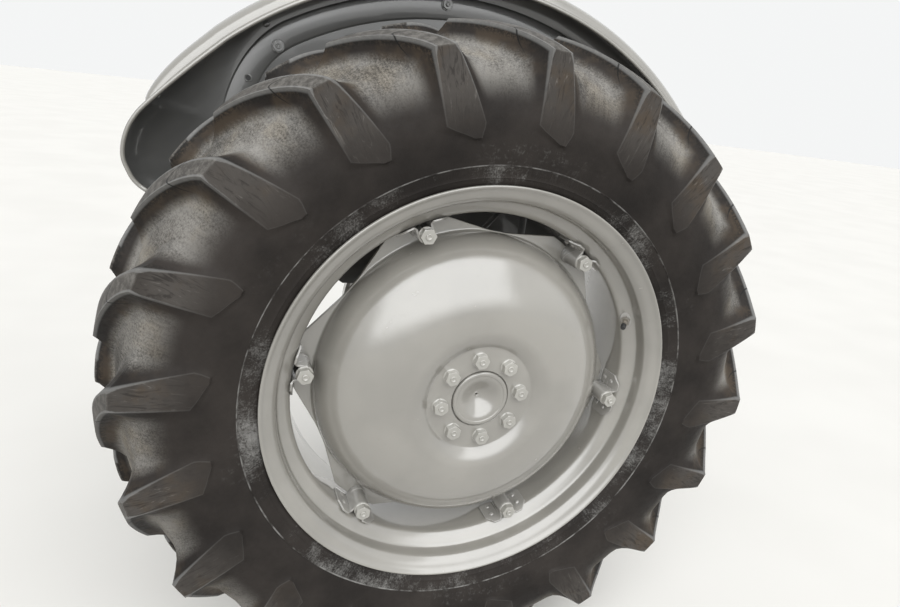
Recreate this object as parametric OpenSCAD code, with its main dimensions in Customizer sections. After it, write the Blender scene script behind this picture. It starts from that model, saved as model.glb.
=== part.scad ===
// Rear wheel of a small farm machine with its mudguard and half axle.
// The axle runs along Y. The wheel's outer side faces -Y, and -X is the direction of travel.
// The origin is the centre of the axle housing's inner flange face.

/* [Wheel] */
// Distance from the axle housing's inner flange face to the rim's outer edge
flange_to_rim = 560; // [520:1:640]
// Outer diameter of the rim flanges
rim_d = 762; // [752:1:772]
// Overall width of the rim
rim_w = 250; // [244:1:256]
// Thickness of the rim
rim_t = 5; // [4:0.5:6]
// Diameter of the tyre over its lugs at the middle of the tread
tyre_d = 1254; // [1240:1:1270]
// Width of the tyre over its shoulders
tyre_w = 284; // [278:1:290]
// Number of lugs on each side of the tread
lugs_per_side = 20; // [18:1:22]
// Height of a lug above the tread floor at the middle
lug_h = 33; // [26:1:38]
// Width of a lug's top face at the shoulder
lug_w = 34; // [28:1:38]

/* [Disc] */
// Thickness of the pressed disc
disc_t = 7; // [5:0.5:8]
// Distance of the disc's flat plate behind the rim's outer edge
plate_y = 106; // [100:1:110]
// Distance from the rim lug bolts' circle in to the foot of the dome
bolt_to_dome = 23.7; // [21:0.1:26]
// Distance from the rim lug bolts' circle out to the tip of a lobe
bolt_to_lobe = 9.8; // [9:0.1:11]
// Distance of the hub seat behind the rim's outer edge
hub_y = 6; // [3:1:10]
// Diameter of the flat hub seat
hub_seat_d = 200; // [196:1:204]
// Height of the dome's crest in front of the hub seat
crest_h = 15; // [10:1:18]

/* [Fastenings] */
// Diameter of the circle of studs on the hub
hub_pcd = 152.4; // [150:0.1:155]
// Distance from the rim's well in to the circle of the rim lug bolts
well_to_bolt = 17.8; // [17.2:0.1:20]
// Width across the flats of the nuts
nut_af = 25; // [22:0.5:26]
// Diameter of the studs and bolts
stud_d = 14; // [12:0.5:15]

/* [Axle] */
// Outer diameter of the brake drum
drum_d = 380; // [370:1:390]
// Diameter of the shaft in its bearing
journal_d = 60; // [56:1:62]
// Diameter of the shaft's driven end
drive_d = 44; // [40:1:46]
// Length of the shaft's driven end
drive_l = 60; // [50:1:70]
// Diameter of the axle housing's inner flange
flange_d = 300; // [292:1:310]
// Diameter of the bolt circle on the inner flange
flange_pcd = 262; // [256:1:266]

/* [Mudguard] */
// Clearance between the tyre's lugs and the mudguard's outer edge
guard_gap = 67; // [60:1:85]
// Distance of the mudguard's outer edge behind the rim's outer edge
guard_edge_y = 229; // [224:1:234]
// Width of the crown from the outer edge to the back of the side plate
crown_w = 79; // [76:1:84]
// Radius of the rolled outer edge
roll_r = 4; // [3.5:0.5:5]
// Height of the crown above its outer edge
crown_h = 26; // [20:1:30]
// Thickness of the mudguard sheet
sheet_t = 2.5; // [2:0.5:3.5]
// Width of the bracket at its narrow end
bracket_w = 140; // [120:2:160]

/* [Hidden] */
enamel = [0.66, 0.65, 0.62];
black_rubber = [0.13, 0.12, 0.11];

rim_r = rim_d / 2;
rim_mid = rim_w / 2;
seat_r = rim_r - 25.4;
well_r = rim_r - 51;
well_inside_r = well_r - rim_t;
stud_r = stud_d / 2;
clearance = 0.2;

// Angles in the wheel's plane run from +X towards +Z. Lengths y are behind the rim's outer edge.
module on_wheel() { translate([0, -flange_to_rim, 0]) children(); }
module about_axle() { rotate([-90, 0, 0]) children(); }
module at_angle(a) { rotate([0, -a, 0]) children(); }
module revolve(profile, fn = 96) { about_axle() rotate_extrude($fn = fn) polygon(profile); }
module slab(y0, y1) { translate([0, y0, 0]) about_axle() linear_extrude(y1 - y0) children(); }
module drum(r, y0, y1) { translate([0, y0, 0]) about_axle() cylinder(r = r, h = y1 - y0, $fn = 96); }
module cone(r0, r1, y0, y1) {
    translate([0, y0, 0]) about_axle() cylinder(r1 = r0, r2 = r1, h = y1 - y0, $fn = 96);
}
module hex(y0, y1) {
    translate([0, y0, 0]) about_axle() cylinder(d = nut_af / cos(30), h = y1 - y0, $fn = 6);
}
function mirrored(points) = [for (i = [len(points) - 1 : -1 : 0]) [points[i][0], -points[i][1]]];
function shifted(points, dy) = [for (p = points) [p[0], p[1] + dy]];
function reversed(points) = [for (i = [len(points) - 1 : -1 : 0]) points[i]];
function polar(r, a) = [r * cos(a), -r * sin(a)];

// Rim half section, each point a radius and a distance from the middle plane
rim_outside = [
    [rim_r, rim_mid], [rim_r, rim_mid - 5], [rim_r - 7, rim_mid - 10.5],
    [rim_r - 17, rim_mid - 15.5], [rim_r - 22.5, rim_mid - 20], [seat_r, rim_mid - 25],
    [seat_r, rim_mid - 43.5], [seat_r - 5, rim_mid - 47], [well_r + 5.2, rim_mid - 56.7],
    [well_r + 1.2, rim_mid - 61.5], [well_r, rim_mid - 67]
];
seat_inside_r = seat_r - rim_t;
// The valve stands square on the slope between the bead seat and the well.
slope_top = [seat_inside_r - 2.8, 42.8];
slope_foot = [well_inside_r + 7.5, 52.5];
rim_inside = [
    [well_inside_r, rim_mid - 64.5], [well_inside_r + 1.8, rim_mid - 58.5],
    [slope_foot[0], rim_mid - slope_foot[1]], [slope_top[0], rim_mid - slope_top[1]],
    [seat_inside_r - 0.6, rim_mid - 38], [seat_inside_r + 1.4, rim_mid - 22.5],
    [rim_r - 26, rim_mid - 17], [rim_r - 20, rim_mid - 11],
    [rim_r - 10, rim_mid - 5.5], [rim_r - 5, rim_mid - 1.5], [rim_r - 3.5, rim_mid]
];
valve_base = slope_top + 0.8 * (slope_foot - slope_top);
valve_lean = atan2(slope_foot[1] - slope_top[1], slope_top[0] - slope_foot[0]);
valve_a = 22.5;
valve_r = 5;
module on_valve() {
    at_angle(valve_a) translate([valve_base[0], valve_base[1], 0])
        rotate([0, 0, 90 - valve_lean]) rotate([0, -90, 0]) children();
}

module rim() {
    section = concat(rim_outside, mirrored(rim_outside), mirrored(rim_inside), rim_inside);
    color(enamel) on_wheel() difference() {
        revolve(shifted(section, rim_mid));
        on_valve() translate([0, 0, -20]) cylinder(r = valve_r + clearance, h = 40, $fn = 48);
    }
}

module valve_stem() {
    color([0.5, 0.5, 0.48]) on_wheel() on_valve() {
        translate([0, 0, -9]) cylinder(r = valve_r, h = 26, $fn = 48);
        translate([0, 0, 0.2]) cylinder(d = 15 / cos(30), h = 5, $fn = 6);
        translate([0, 0, 16]) cylinder(r = 4.2, h = 12, $fn = 48);
    }
}

// Tyre half section, each point a radius and a distance from the middle plane
tyre_fn = 48;
half_w = tyre_w / 2;
bead_r = (seat_r + 0.02) / cos(180 / tyre_fn);
top_r = tyre_d / 2;
floor_r = top_r - lug_h;
shoulder_r = top_r - 39;
// Height of the sidewall, and a radius at a share of it
wall_h = floor_r - 32 - rim_r;
function wall_r(share) = rim_r + share * wall_h;
tyre_outside = [
    [bead_r, rim_mid - 43], [bead_r, rim_mid - 27], [wall_r(0.03), half_w - 22],
    [wall_r(0.17), half_w - 12.5], [wall_r(0.39), half_w - 4.5], [wall_r(0.63), half_w - 3],
    [wall_r(0.85), half_w - 16], [floor_r - 32, half_w - 38], [floor_r - 8, half_w - 92]
];
tyre_inside = [[wall_r(0.28), half_w - 26], [wall_r(0.77), half_w - 40]];
lug_pitch = 360 / lugs_per_side;
lug_first = 103.56;
lug_lead = 13.7;

// Top of a lug at a distance w from the tread's middle
function lug_top(w) = top_r - 39 * pow(w / half_w, 2);
function lug_angle(w) = lug_lead * pow((half_w - w) / half_w, 1.25);
function lug_floor(w) = floor_r - 12 - 34 * pow(w / half_w, 2);
// Width of a lug's top along the circumference at a distance w from the tread's middle
function lug_width(w) = lug_w + 14 * (half_w - w) / half_w;
function tread_point(r, w, side, a) = [r * cos(a), rim_mid - side * w, r * sin(a)];
function degrees_of(width, r) = width / r * 180 / PI;
// Four corners of a lug's cross-section: two on the tread, two below its floor
function lug_corners(w, side, a) = let (
    top = degrees_of(lug_width(w), lug_top(w)) / 2,
    low = top + degrees_of(9, floor_r),
    mid = a + lug_angle(w)
) [
    tread_point(lug_top(w), w, side, mid + top), tread_point(lug_top(w), w, side, mid - top),
    tread_point(lug_floor(w), w, side, mid + low), tread_point(lug_floor(w), w, side, mid - low)
];
module solid_over(points) { hull() polyhedron(points, [[for (i = [0 : len(points) - 1]) i]]); }

// A lug runs from its nose to the shoulder, then down the sidewall to a point.
lug_stations = [5, 74, half_w];
end_foot_r = shoulder_r - 0.536 * (shoulder_r - rim_r);
end_tip_r = shoulder_r - 0.657 * (shoulder_r - rim_r);
module tread_lug(side, a) {
    for (i = [0 : len(lug_stations) - 2])
        solid_over(concat(lug_corners(lug_stations[i], side, a), lug_corners(lug_stations[i + 1], side, a)));
    shoulder = lug_corners(half_w, side, a);
    inner = lug_corners(half_w - 44, side, a);
    solid_over([
        shoulder[0], shoulder[1], inner[2], inner[3],
        tread_point(end_foot_r, half_w - 0.5, side, a + 1.4),
        tread_point(end_foot_r, half_w - 0.5, side, a - 5.9),
        tread_point(end_tip_r, half_w - 3.5, side, a - 4.9)
    ]);
}

module tyre() {
    middle = [[floor_r, 0]];
    cavity_top = [[floor_r - 28, 0]];
    section = concat(
        tyre_outside, middle, mirrored(tyre_outside),
        mirrored(reversed(tyre_inside)), cavity_top, reversed(tyre_inside)
    );
    color(black_rubber) on_wheel() union() {
        revolve(shifted(section, rim_mid), tyre_fn);
        for (i = [0 : lugs_per_side - 1]) {
            tread_lug(1, lug_first - i * lug_pitch);
            tread_lug(-1, lug_first - (i + 0.5) * lug_pitch);
        }
    }
}

// Bolts join the lobes of the disc to lugs riveted in the rim's well.
rim_lug_count = 6;
rim_lug_first = 112.08;
lug_bolt_r = well_inside_r - well_to_bolt;
lobe_r = lug_bolt_r + bolt_to_lobe;
tube_r = 15;
tube_y = plate_y - 54;
function rim_lug_angle(i) = rim_lug_first - (i - 1) * 360 / rim_lug_count;

// Dome section from the hub seat over the crest to the plate
boss_r = 53;
disc_bore_r = boss_r + 1;
hub_seat_r = hub_seat_d / 2;
dome_r = lug_bolt_r - bolt_to_dome;
crest_r = hub_seat_r + 36;
crest_y = hub_y - crest_h;
dome_outside = concat(
    [[disc_bore_r, hub_y]],
    [for (s = [0 : 0.14 : 0.85]) [hub_seat_r + 36 * s, hub_y - crest_h * sin(90 * pow(s, 0.9))]],
    [for (f = [0 : 9 : 81]) [
        crest_r + (dome_r - crest_r) * sin(f), crest_y + (plate_y - crest_y) * (1 - cos(f))
    ]],
    [[dome_r, plate_y - 1]]
);
function unit(v) = v / norm(v);
function tangent(points, i) =
    unit(points[min(i + 1, len(points) - 1)] - points[max(i - 1, 0)]);
// The same profile moved inwards by the sheet's thickness
function offset_profile(points, t) = [
    for (i = [0 : len(points) - 1]) points[i] + t * [-tangent(points, i)[1], tangent(points, i)[0]]
];
// Plate outline: straight sides that dip to the dome between the lobes
plate_outline = [
    for (i = [1 : rim_lug_count]) let (a = rim_lug_angle(i)) each [
        polar(dome_r + 1, a + 30), polar(dome_r + 1, a + 26.5),
        for (k = [9 : -3 : -9]) polar(lobe_r, a + k),
        polar(dome_r + 1, a - 26.5)
    ]
];

module wheel_disc() {
    inside = offset_profile(dome_outside, disc_t);
    foot = [[dome_r, plate_y + disc_t], [dome_r - disc_t, plate_y + disc_t]];
    section = concat(dome_outside, foot, reversed(inside));
    color(enamel) on_wheel() difference() {
        union() {
            revolve(section);
            slab(plate_y, plate_y + disc_t) difference() {
                polygon(plate_outline);
                circle(r = dome_r - disc_t, $fn = 96);
            }
        }
        for (i = [1 : 8]) at_hub_stud(i) drum(stud_r + clearance, hub_y - 5, hub_y + 20);
        for (i = [1 : rim_lug_count]) at_lug_bolt(i) drum(stud_r + clearance, plate_y - 5, plate_y + 20);
    }
}

module at_lug_bolt(i) { at_angle(rim_lug_angle(i)) translate([lug_bolt_r, 0, 0]) children(); }
// A lug is a strap bent round the bolt, with two feet riveted to the rim's well.
foot_t = 5;
foot_half = 46;
foot_inside_r = well_inside_r - foot_t;
// Section of a foot: it hugs the well, and its front end bends out over the slope.
foot_section = [
    [well_inside_r, plate_y], [well_inside_r, 64.5], [well_inside_r + 1.8, 58.5], slope_foot,
    slope_foot - [4, 3.5], [foot_inside_r + 3.5, 54.5], [foot_inside_r + 0.6, 60.5],
    [foot_inside_r, 66], [foot_inside_r, plate_y]
];
foot_front = slope_foot[1] - 5;
foot_plan = [
    [foot_front, 12], [foot_front, foot_half - 15], [foot_front + 15, foot_half],
    [plate_y - 6, foot_half], [plate_y, foot_half - 6], [plate_y, 12]
];
rivet_angle = 5.2;
rivet_y = [plate_y - 37, plate_y - 14];
module foot_shape(side) {
    rotate([90, 0, 90]) linear_extrude(rim_r) polygon([for (p = foot_plan) [p[0], side * p[1]]]);
}
module rim_lug(i) {
    color(enamel) on_wheel() at_angle(rim_lug_angle(i)) difference() {
        union() {
            intersection() {
                union() {
                    translate([lug_bolt_r, 0, 0]) drum(tube_r, tube_y, plate_y);
                    slab(tube_y + 8, plate_y) translate([lug_bolt_r, -tube_r])
                        square([foot_inside_r + 2 - lug_bolt_r, 2 * tube_r]);
                    for (side = [-1, 1]) for (y = rivet_y)
                        at_angle(side * rivet_angle)
                            translate([foot_inside_r + 3.4, y, 0]) sphere(r = 6, $fn = 48);
                }
                drum(well_inside_r, tube_y - 1, plate_y + 1);
            }
            for (side = [-1, 1]) intersection() {
                foot_shape(side);
                revolve(foot_section);
            }
        }
        slab(foot_front - 1, plate_y + 1) translate([lug_bolt_r + stud_r + 3, -8]) square([60, 16]);
        translate([lug_bolt_r, 0, 0]) drum(stud_r + clearance, tube_y - 1, plate_y + 1);
    }
}

// A nut or bolt head with its front corners turned down
module nut(y0, y1) {
    corner_r = nut_af / 2 / cos(30);
    intersection() {
        hex(y0, y1);
        revolve([[0, y0], [nut_af / 2 - 0.5, y0], [corner_r, y0 + 1.6], [corner_r, y1], [0, y1]]);
    }
}
module lug_bolt(i) {
    color(enamel) on_wheel() at_lug_bolt(i) union() {
        drum(stud_r, tube_y - 16.5, plate_y + disc_t + 1);
        cone(stud_r - 1.2, stud_r, tube_y - 17.7, tube_y - 16.5);
        drum(tube_r, tube_y - 3, tube_y);
        nut(tube_y - 15, tube_y - 3);
        hex(plate_y + disc_t, plate_y + disc_t + 9);
    }
}

// Studs join the disc, the shaft's flange and the brake drum.
hub_first = 97.15;
shaft_flange_y = hub_y + disc_t;
drum_web_y = shaft_flange_y + 16;
drum_web_t = 8;
module at_hub_stud(i) { at_angle(hub_first - (i - 1) * 45) translate([hub_pcd / 2, 0, 0]) children(); }
module hub_nut(i) {
    color(enamel) on_wheel() at_hub_stud(i) union() {
        drum(stud_r, hub_y - 12.5, drum_web_y + drum_web_t + 1);
        cone(stud_r - 1.2, stud_r, hub_y - 13.7, hub_y - 12.5);
        nut(hub_y - 12, hub_y);
        drum(11, drum_web_y + drum_web_t, drum_web_y + drum_web_t + 6);
    }
}

// The shaft's outer end is a dish inside the boss's rim.
boss_y = hub_y - 3;
dish_r = boss_r - 8;
dish_depth = 15;
dish_sphere_r = (dish_r * dish_r + dish_depth * dish_depth) / (2 * dish_depth);
journal_r = journal_d / 2;
bearing_y = 56;
bearing_end = 150;
shaft_flange_r = hub_seat_r - 2;
drive_y = flange_to_rim + 6;
drive_r = drive_d / 2;
end_chamfer = 3;
module half_shaft() {
    color(enamel) on_wheel() difference() {
        union() {
            drum(boss_r, boss_y, shaft_flange_y + 1);
            drum(shaft_flange_r, shaft_flange_y, drum_web_y);
            drum(journal_r + 4, drum_web_y - 1, bearing_y - 6);
            drum(journal_r, bearing_y - 7, bearing_end);
            drum(drive_r + 2.5, bearing_end - 1, drive_y);
            drum(drive_r, drive_y - 1, drive_y + drive_l);
            cone(drive_r, drive_r - end_chamfer, drive_y + drive_l, drive_y + drive_l + end_chamfer);
        }
        translate([0, boss_y + dish_depth - dish_sphere_r, 0]) sphere(r = dish_sphere_r, $fn = 96);
        cone(8, 0.5, boss_y + dish_depth - 8, boss_y + dish_depth + 6);
        for (i = [1 : 8]) at_hub_stud(i) drum(stud_r + clearance, shaft_flange_y - 5, drum_web_y + 5);
    }
}

drum_r = drum_d / 2;
drum_edge_y = 90;
module brake_drum() {
    color([0.45, 0.44, 0.42]) on_wheel() difference() {
        union() {
            drum(drum_r, drum_web_y, drum_edge_y - 10);
            drum(drum_r + 5, drum_edge_y - 12, drum_edge_y);
        }
        drum(drum_r - 12, drum_web_y + drum_web_t, drum_edge_y + 1);
        drum(journal_r + 5, drum_web_y - 1, drum_edge_y);
        for (i = [1 : 8]) at_hub_stud(i) drum(stud_r + clearance, drum_web_y - 5, drum_web_y + 20);
    }
}

housing_flange_y = 100;
backplate_t = 4;
module backplate() {
    color(enamel) on_wheel() difference() {
        union() {
            drum(drum_r + 14, housing_flange_y - backplate_t, housing_flange_y);
            drum(drum_r + 14, housing_flange_y - 0.5, housing_flange_y + 8);
        }
        drum(drum_r + 10, housing_flange_y, housing_flange_y + 9);
        drum(59, housing_flange_y - 6, housing_flange_y + 2);
    }
}

inner_flange_t = 20;
inner_flange_y = flange_to_rim - inner_flange_t;
rib_t = 12;
collar_r = 86;
bracket_y = guard_edge_y + crown_w;
bracket_t = 12;
bracket_foot = 120;
bracket_h = 250;
module axle_housing() {
    color(enamel) difference() {
        on_wheel() union() {
            drum(59, bearing_y, housing_flange_y + 1);
            drum(100, housing_flange_y, housing_flange_y + 16);
            cone(66, 88, housing_flange_y + 15, inner_flange_y + 1);
            drum(collar_r, bracket_y - 8, bracket_y + bracket_t + 8);
            drum(flange_d / 2, inner_flange_y, flange_to_rim);
            for (i = [0 : 7]) at_angle(i * 45 + 22.5) translate([85, 0, 0])
                hex(housing_flange_y + 15, housing_flange_y + 24);
            for (i = [0 : 4]) at_angle(i * 72 + 18) translate([0, 0, -rib_t / 2])
                linear_extrude(rib_t) polygon([
                    [70, inner_flange_y - 90], [84, inner_flange_y - 90],
                    [flange_d / 2 - 6, inner_flange_y - 8], [flange_d / 2 - 6, inner_flange_y + 2],
                    [70, inner_flange_y + 2]
                ]);
        }
        on_wheel() drum(journal_r + 0.05, bearing_y - 1, bearing_end + 1);
        on_wheel() drum(50, bearing_end, flange_to_rim + 1);
        for (i = [0 : 9]) at_angle(i * 36) translate([flange_pcd / 2, 0, 0])
            drum(6.6, -inner_flange_t - 1, 1);
    }
}

// Mudguard section: a rolled edge, a round crown, then a curve into the flat side plate
guard_edge_r = top_r + guard_gap;
plate_edge_r = guard_edge_r - 14;
crown_line = concat(
    [for (k = [1 : 8]) let (a = 17.5 * k) [
        guard_edge_r + crown_h * sin(a + 15 * (1 - k / 8) * sin(a)),
        guard_edge_y + crown_w * 0.53 * (1 - cos(a))
    ]],
    [
        [guard_edge_r + 3, bracket_y - 2.2],
        [guard_edge_r - 8, bracket_y - 0.3],
        [guard_edge_r - 18, bracket_y]
    ]
);
rolled_edge = [for (a = [60 : 40 : 300]) [
    guard_edge_r + 1 + roll_r * cos(a), guard_edge_y + roll_r * sin(a)
]];
// Outline from the wheel's outer side: a round front below the crown's end, then the lower and rear edges
front_r = 0.121 * guard_edge_r;
front_centre = [-0.714, 0.528] * guard_edge_r;
rear_x = 0.922 * guard_edge_r;
rear_z = 0.288 * guard_edge_r;
rear_r = 0.062 * guard_edge_r;
low_x = 0.288 * guard_edge_r;
low_z = 0.173 * guard_edge_r;
function around(centre, r, a) = centre + r * [cos(a), sin(a)];
guard_outline = concat(
    [for (a = [130 : 12 : 262]) around(front_centre, front_r, a)],
    [[-low_x, low_z], [low_x, low_z], [2 * low_x, rear_z]],
    [for (a = [270 : 15 : 360]) around([rear_x - rear_r, rear_z + rear_r], rear_r, a)],
    [[rear_x, guard_edge_r + 100], [-0.72, 1.15] * guard_edge_r],
    [[-0.757, 0.713] * guard_edge_r, [-0.779, 0.67] * guard_edge_r]
);
// The front wall follows the outline from the crown round the corner, and steps back behind the tyre.
wall_low_r = tyre_d / 2 - 15;
wall_end_r = tyre_d / 2 - 37;
wall_step_y = rim_mid + tyre_w / 2 + 8;
function front_path(inset) = [for (a = [118 : 12 : 262]) around(front_centre, front_r - inset, a)];
// A raised band on the side plate turns inwards at both ends.
band_h = 3;
function band_outer(a) = guard_edge_r - 16 - 61 * pow(max(a - 119, 0) / 14.8, 1.75);
function band_inner(a) = guard_edge_r - 56 - 31 * pow(max(a - 118, 0) / 9.9, 2.3);
band_half = concat(
    [for (a = [91.5 : 3 : 132]) polar(band_outer(a), a)],
    [polar(0.807 * guard_edge_r, 138), polar(0.778 * guard_edge_r, 132)],
    [for (a = [128 : -2 : 118]) polar(band_inner(a), a)], [for (a = [112 : -6 : 92]) polar(band_inner(a), a)]
);
band_outline = concat(band_half, [for (p = reversed(band_half)) [-p[0], p[1]]]);
bolt_spots = [for (p = [[-0.486, 0.797], [-0.053, 0.955], [0.36, 0.879]]) guard_edge_r * p];

module guard_prism(points) {
    slab(guard_edge_y - 20, bracket_y + 20) polygon([for (p = points) [p[0], -p[1]]]);
}
module mudguard() {
    inside = offset_profile(crown_line, sheet_t);
    middle = offset_profile(crown_line, sheet_t / 2);
    last = middle[len(middle) - 1];
    under_crown = concat(
        [[wall_low_r, middle[0][1]]], middle, [[wall_end_r, last[1]], [wall_end_r, wall_step_y]]
    );
    color(enamel) on_wheel() union() {
        intersection() {
            union() {
                revolve(concat(crown_line, reversed(inside), rolled_edge));
                slab(bracket_y - sheet_t, bracket_y) circle(r = plate_edge_r, $fn = 180);
                intersection() {
                    revolve(under_crown);
                    guard_prism(concat(front_path(-5), reversed(front_path(sheet_t))));
                }
            }
            guard_prism(guard_outline);
        }
        slab(bracket_y - sheet_t - band_h, bracket_y - sheet_t + 0.5) polygon(band_outline);
        for (p = bolt_spots) translate([p[0], 0, p[1]]) {
            drum(stud_r / 2, bracket_y - sheet_t - band_h - 9, bracket_y + 8);
            hex(bracket_y - 0.5, bracket_y + 6);
        }
    }
}

module mudguard_bracket() {
    color(enamel) on_wheel() slab(bracket_y, bracket_y + bracket_t) difference() {
        polygon([
            [-bracket_foot, 0], [-bracket_foot, -60], [-bracket_w / 2, -bracket_h],
            [bracket_w / 2, -bracket_h], [bracket_foot, -60], [bracket_foot, 0]
        ]);
        circle(r = collar_r, $fn = 96);
    }
}

tyre();
rim();
valve_stem();
wheel_disc();
rim_lug(1);  // rim_lug_1
rim_lug(2);  // rim_lug_2
rim_lug(3);  // rim_lug_3
rim_lug(4);  // rim_lug_4
rim_lug(5);  // rim_lug_5
rim_lug(6);  // rim_lug_6
lug_bolt(1);  // lug_bolt_1
lug_bolt(2);  // lug_bolt_2
lug_bolt(3);  // lug_bolt_3
lug_bolt(4);  // lug_bolt_4
lug_bolt(5);  // lug_bolt_5
lug_bolt(6);  // lug_bolt_6
hub_nut(1);  // hub_nut_1
hub_nut(2);  // hub_nut_2
hub_nut(3);  // hub_nut_3
hub_nut(4);  // hub_nut_4
hub_nut(5);  // hub_nut_5
hub_nut(6);  // hub_nut_6
hub_nut(7);  // hub_nut_7
hub_nut(8);  // hub_nut_8
half_shaft();
brake_drum();
backplate();
axle_housing();
mudguard();
mudguard_bracket();
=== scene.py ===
"""Looks of a tractor's rear wheel, mudguard and half axle, built round their CAD frame.

Lengths in the pieces' classes are millimetres in the wheel's own frame: the origin is the middle of the
rim's outer edge, x points to the machine's rear, y along the axle away from the viewer and z up. Angles are
degrees in the wheel's plane, from +x towards +z. Meshes are turned into metres in the row frame when made,
and the Studio's numbers are metres in that frame from the start.
"""
import logging
import math
from collections.abc import Callable, Sequence
from dataclasses import dataclass, field
from enum import Enum
from functools import reduce

import bmesh
import bpy
import numpy as np
from mathutils import Matrix, Vector


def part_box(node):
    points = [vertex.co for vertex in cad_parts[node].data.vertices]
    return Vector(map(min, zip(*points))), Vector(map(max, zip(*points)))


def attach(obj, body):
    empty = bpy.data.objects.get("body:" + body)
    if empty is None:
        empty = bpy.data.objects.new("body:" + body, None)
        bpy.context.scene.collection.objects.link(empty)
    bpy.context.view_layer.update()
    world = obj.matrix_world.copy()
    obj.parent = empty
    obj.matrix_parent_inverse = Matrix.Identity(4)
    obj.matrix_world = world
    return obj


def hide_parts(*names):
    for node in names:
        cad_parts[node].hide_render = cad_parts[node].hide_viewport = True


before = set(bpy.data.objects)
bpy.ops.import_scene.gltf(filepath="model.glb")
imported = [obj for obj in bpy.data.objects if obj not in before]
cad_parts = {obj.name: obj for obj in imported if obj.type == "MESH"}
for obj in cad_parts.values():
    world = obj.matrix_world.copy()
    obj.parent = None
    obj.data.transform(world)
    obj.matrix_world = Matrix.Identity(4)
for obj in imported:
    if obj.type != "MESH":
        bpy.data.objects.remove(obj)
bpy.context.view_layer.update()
log = logging.getLogger("rear_wheel")

# The rim's outer edge in the row frame and a millimetre, both in metres
RIM_EDGE_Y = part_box("rim")[0].y
MM = 0.001

# Sizes that several pieces share, in millimetres and degrees
LUG_COUNT = 6
FIRST_LUG = 112.08
LUG_BOLT_R = 307.2
PLATE_Y = 106.0
TUBE_Y = 52.0
WELL_R = 325.0
HUB_Y = 6.0

Array = np.ndarray
Socket = bpy.types.NodeSocket
Colour = tuple[float, float, float]
Pairs = tuple[tuple[float, float], ...]


class Slot(Enum):
    """Material slots of the record."""

    ENAMEL = "grey_enamel"
    TYRE = "tyre"
    VALVE = "valve"


class Body(Enum):
    """Bodies of the record."""

    AXLE = "axle"
    WHEEL = "wheel"


# Geometry in millimetres


def polar(r: Array, angle: Array) -> tuple[Array, Array]:
    """Gives x and z of a point at radius r and an angle in degrees."""
    a = np.radians(angle)
    return r * np.cos(a), r * np.sin(a)


def smooth_path(points: Sequence[Sequence[float]], steps: int = 8) -> Array:
    """Runs a Catmull-Rom curve through points.

    Each span between points b and c is b at 0 and c at 1, with the slopes (c - a) / 2 and (d - b) / 2.

    Args:
        points: the points the curve passes through.
        steps: the number of pieces in a span.

    Returns:
        The curve's points, one row each.
    """
    p = np.asarray(points, float)
    ends = np.vstack([2 * p[0] - p[1], p, 2 * p[-1] - p[-2]])
    a, b, c, d = ends[:-3, None], ends[1:-2, None], ends[2:-1, None], ends[3:, None]
    t = (np.arange(steps) / steps)[None, :, None]
    curve = 0.5 * (2 * b + (c - a) * t + (2 * a - 5 * b + 4 * c - d) * t**2 + (3 * b - a - 3 * c + d) * t**3)
    return np.vstack([curve.reshape(-1, p.shape[1]), p[-1:]])


def revolve(profile: Array, angles: Array) -> Array:
    """Carries a profile round the axle: x = r cos a, y = distance, z = r sin a.

    Args:
        profile: rows of radius and distance behind the rim's outer edge.
        angles: degrees, one for each column.

    Returns:
        A grid of points, angle by profile point.
    """
    x, z = polar(profile[None, :, 0], angles[:, None])
    return np.stack([x, np.broadcast_to(profile[None, :, 1], x.shape), z], -1)


def full_turn(count: int, start: float = 0.0) -> Array:
    """Gives equal angles round a turn, in degrees."""
    return start + np.arange(count) * 360.0 / count


def turned(points: Array, angle: float) -> Array:
    """Turns points about the axle by an angle in degrees, from +x towards +z."""
    a = math.radians(angle)
    x, y, z = points[..., 0], points[..., 1], points[..., 2]
    return np.stack([x * math.cos(a) - z * math.sin(a), y, x * math.sin(a) + z * math.cos(a)], -1)


def inward(profile: Array, thickness: float) -> Array:
    """Moves a profile sideways by a thickness, along its own normals, to the axle's side of a shell."""
    tangent = np.gradient(profile, axis=0)
    tangent /= np.linalg.norm(tangent, axis=1, keepdims=True)
    return profile + thickness * np.stack([-tangent[:, 1], tangent[:, 0]], 1)


def tube(path: Array, radius: float, sides: int = 12) -> Array:
    """Carries a circle along a path, square to it.

    Args:
        path: rows of x, y, z that nowhere run along the axle.
        radius: the circle's radius.
        sides: the points round it.

    Returns:
        A grid of points, path point by side.
    """
    along = np.gradient(path, axis=0)
    along /= np.linalg.norm(along, axis=1, keepdims=True)
    side = np.cross(along, np.array([0.0, 1.0, 0.0]))
    side /= np.linalg.norm(side, axis=1, keepdims=True)
    other = np.cross(side, along)
    a = (np.arange(sides) * 2 * np.pi / sides)[None, :, None]
    return path[:, None] + radius * (np.cos(a) * side[:, None] + np.sin(a) * other[:, None])


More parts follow.
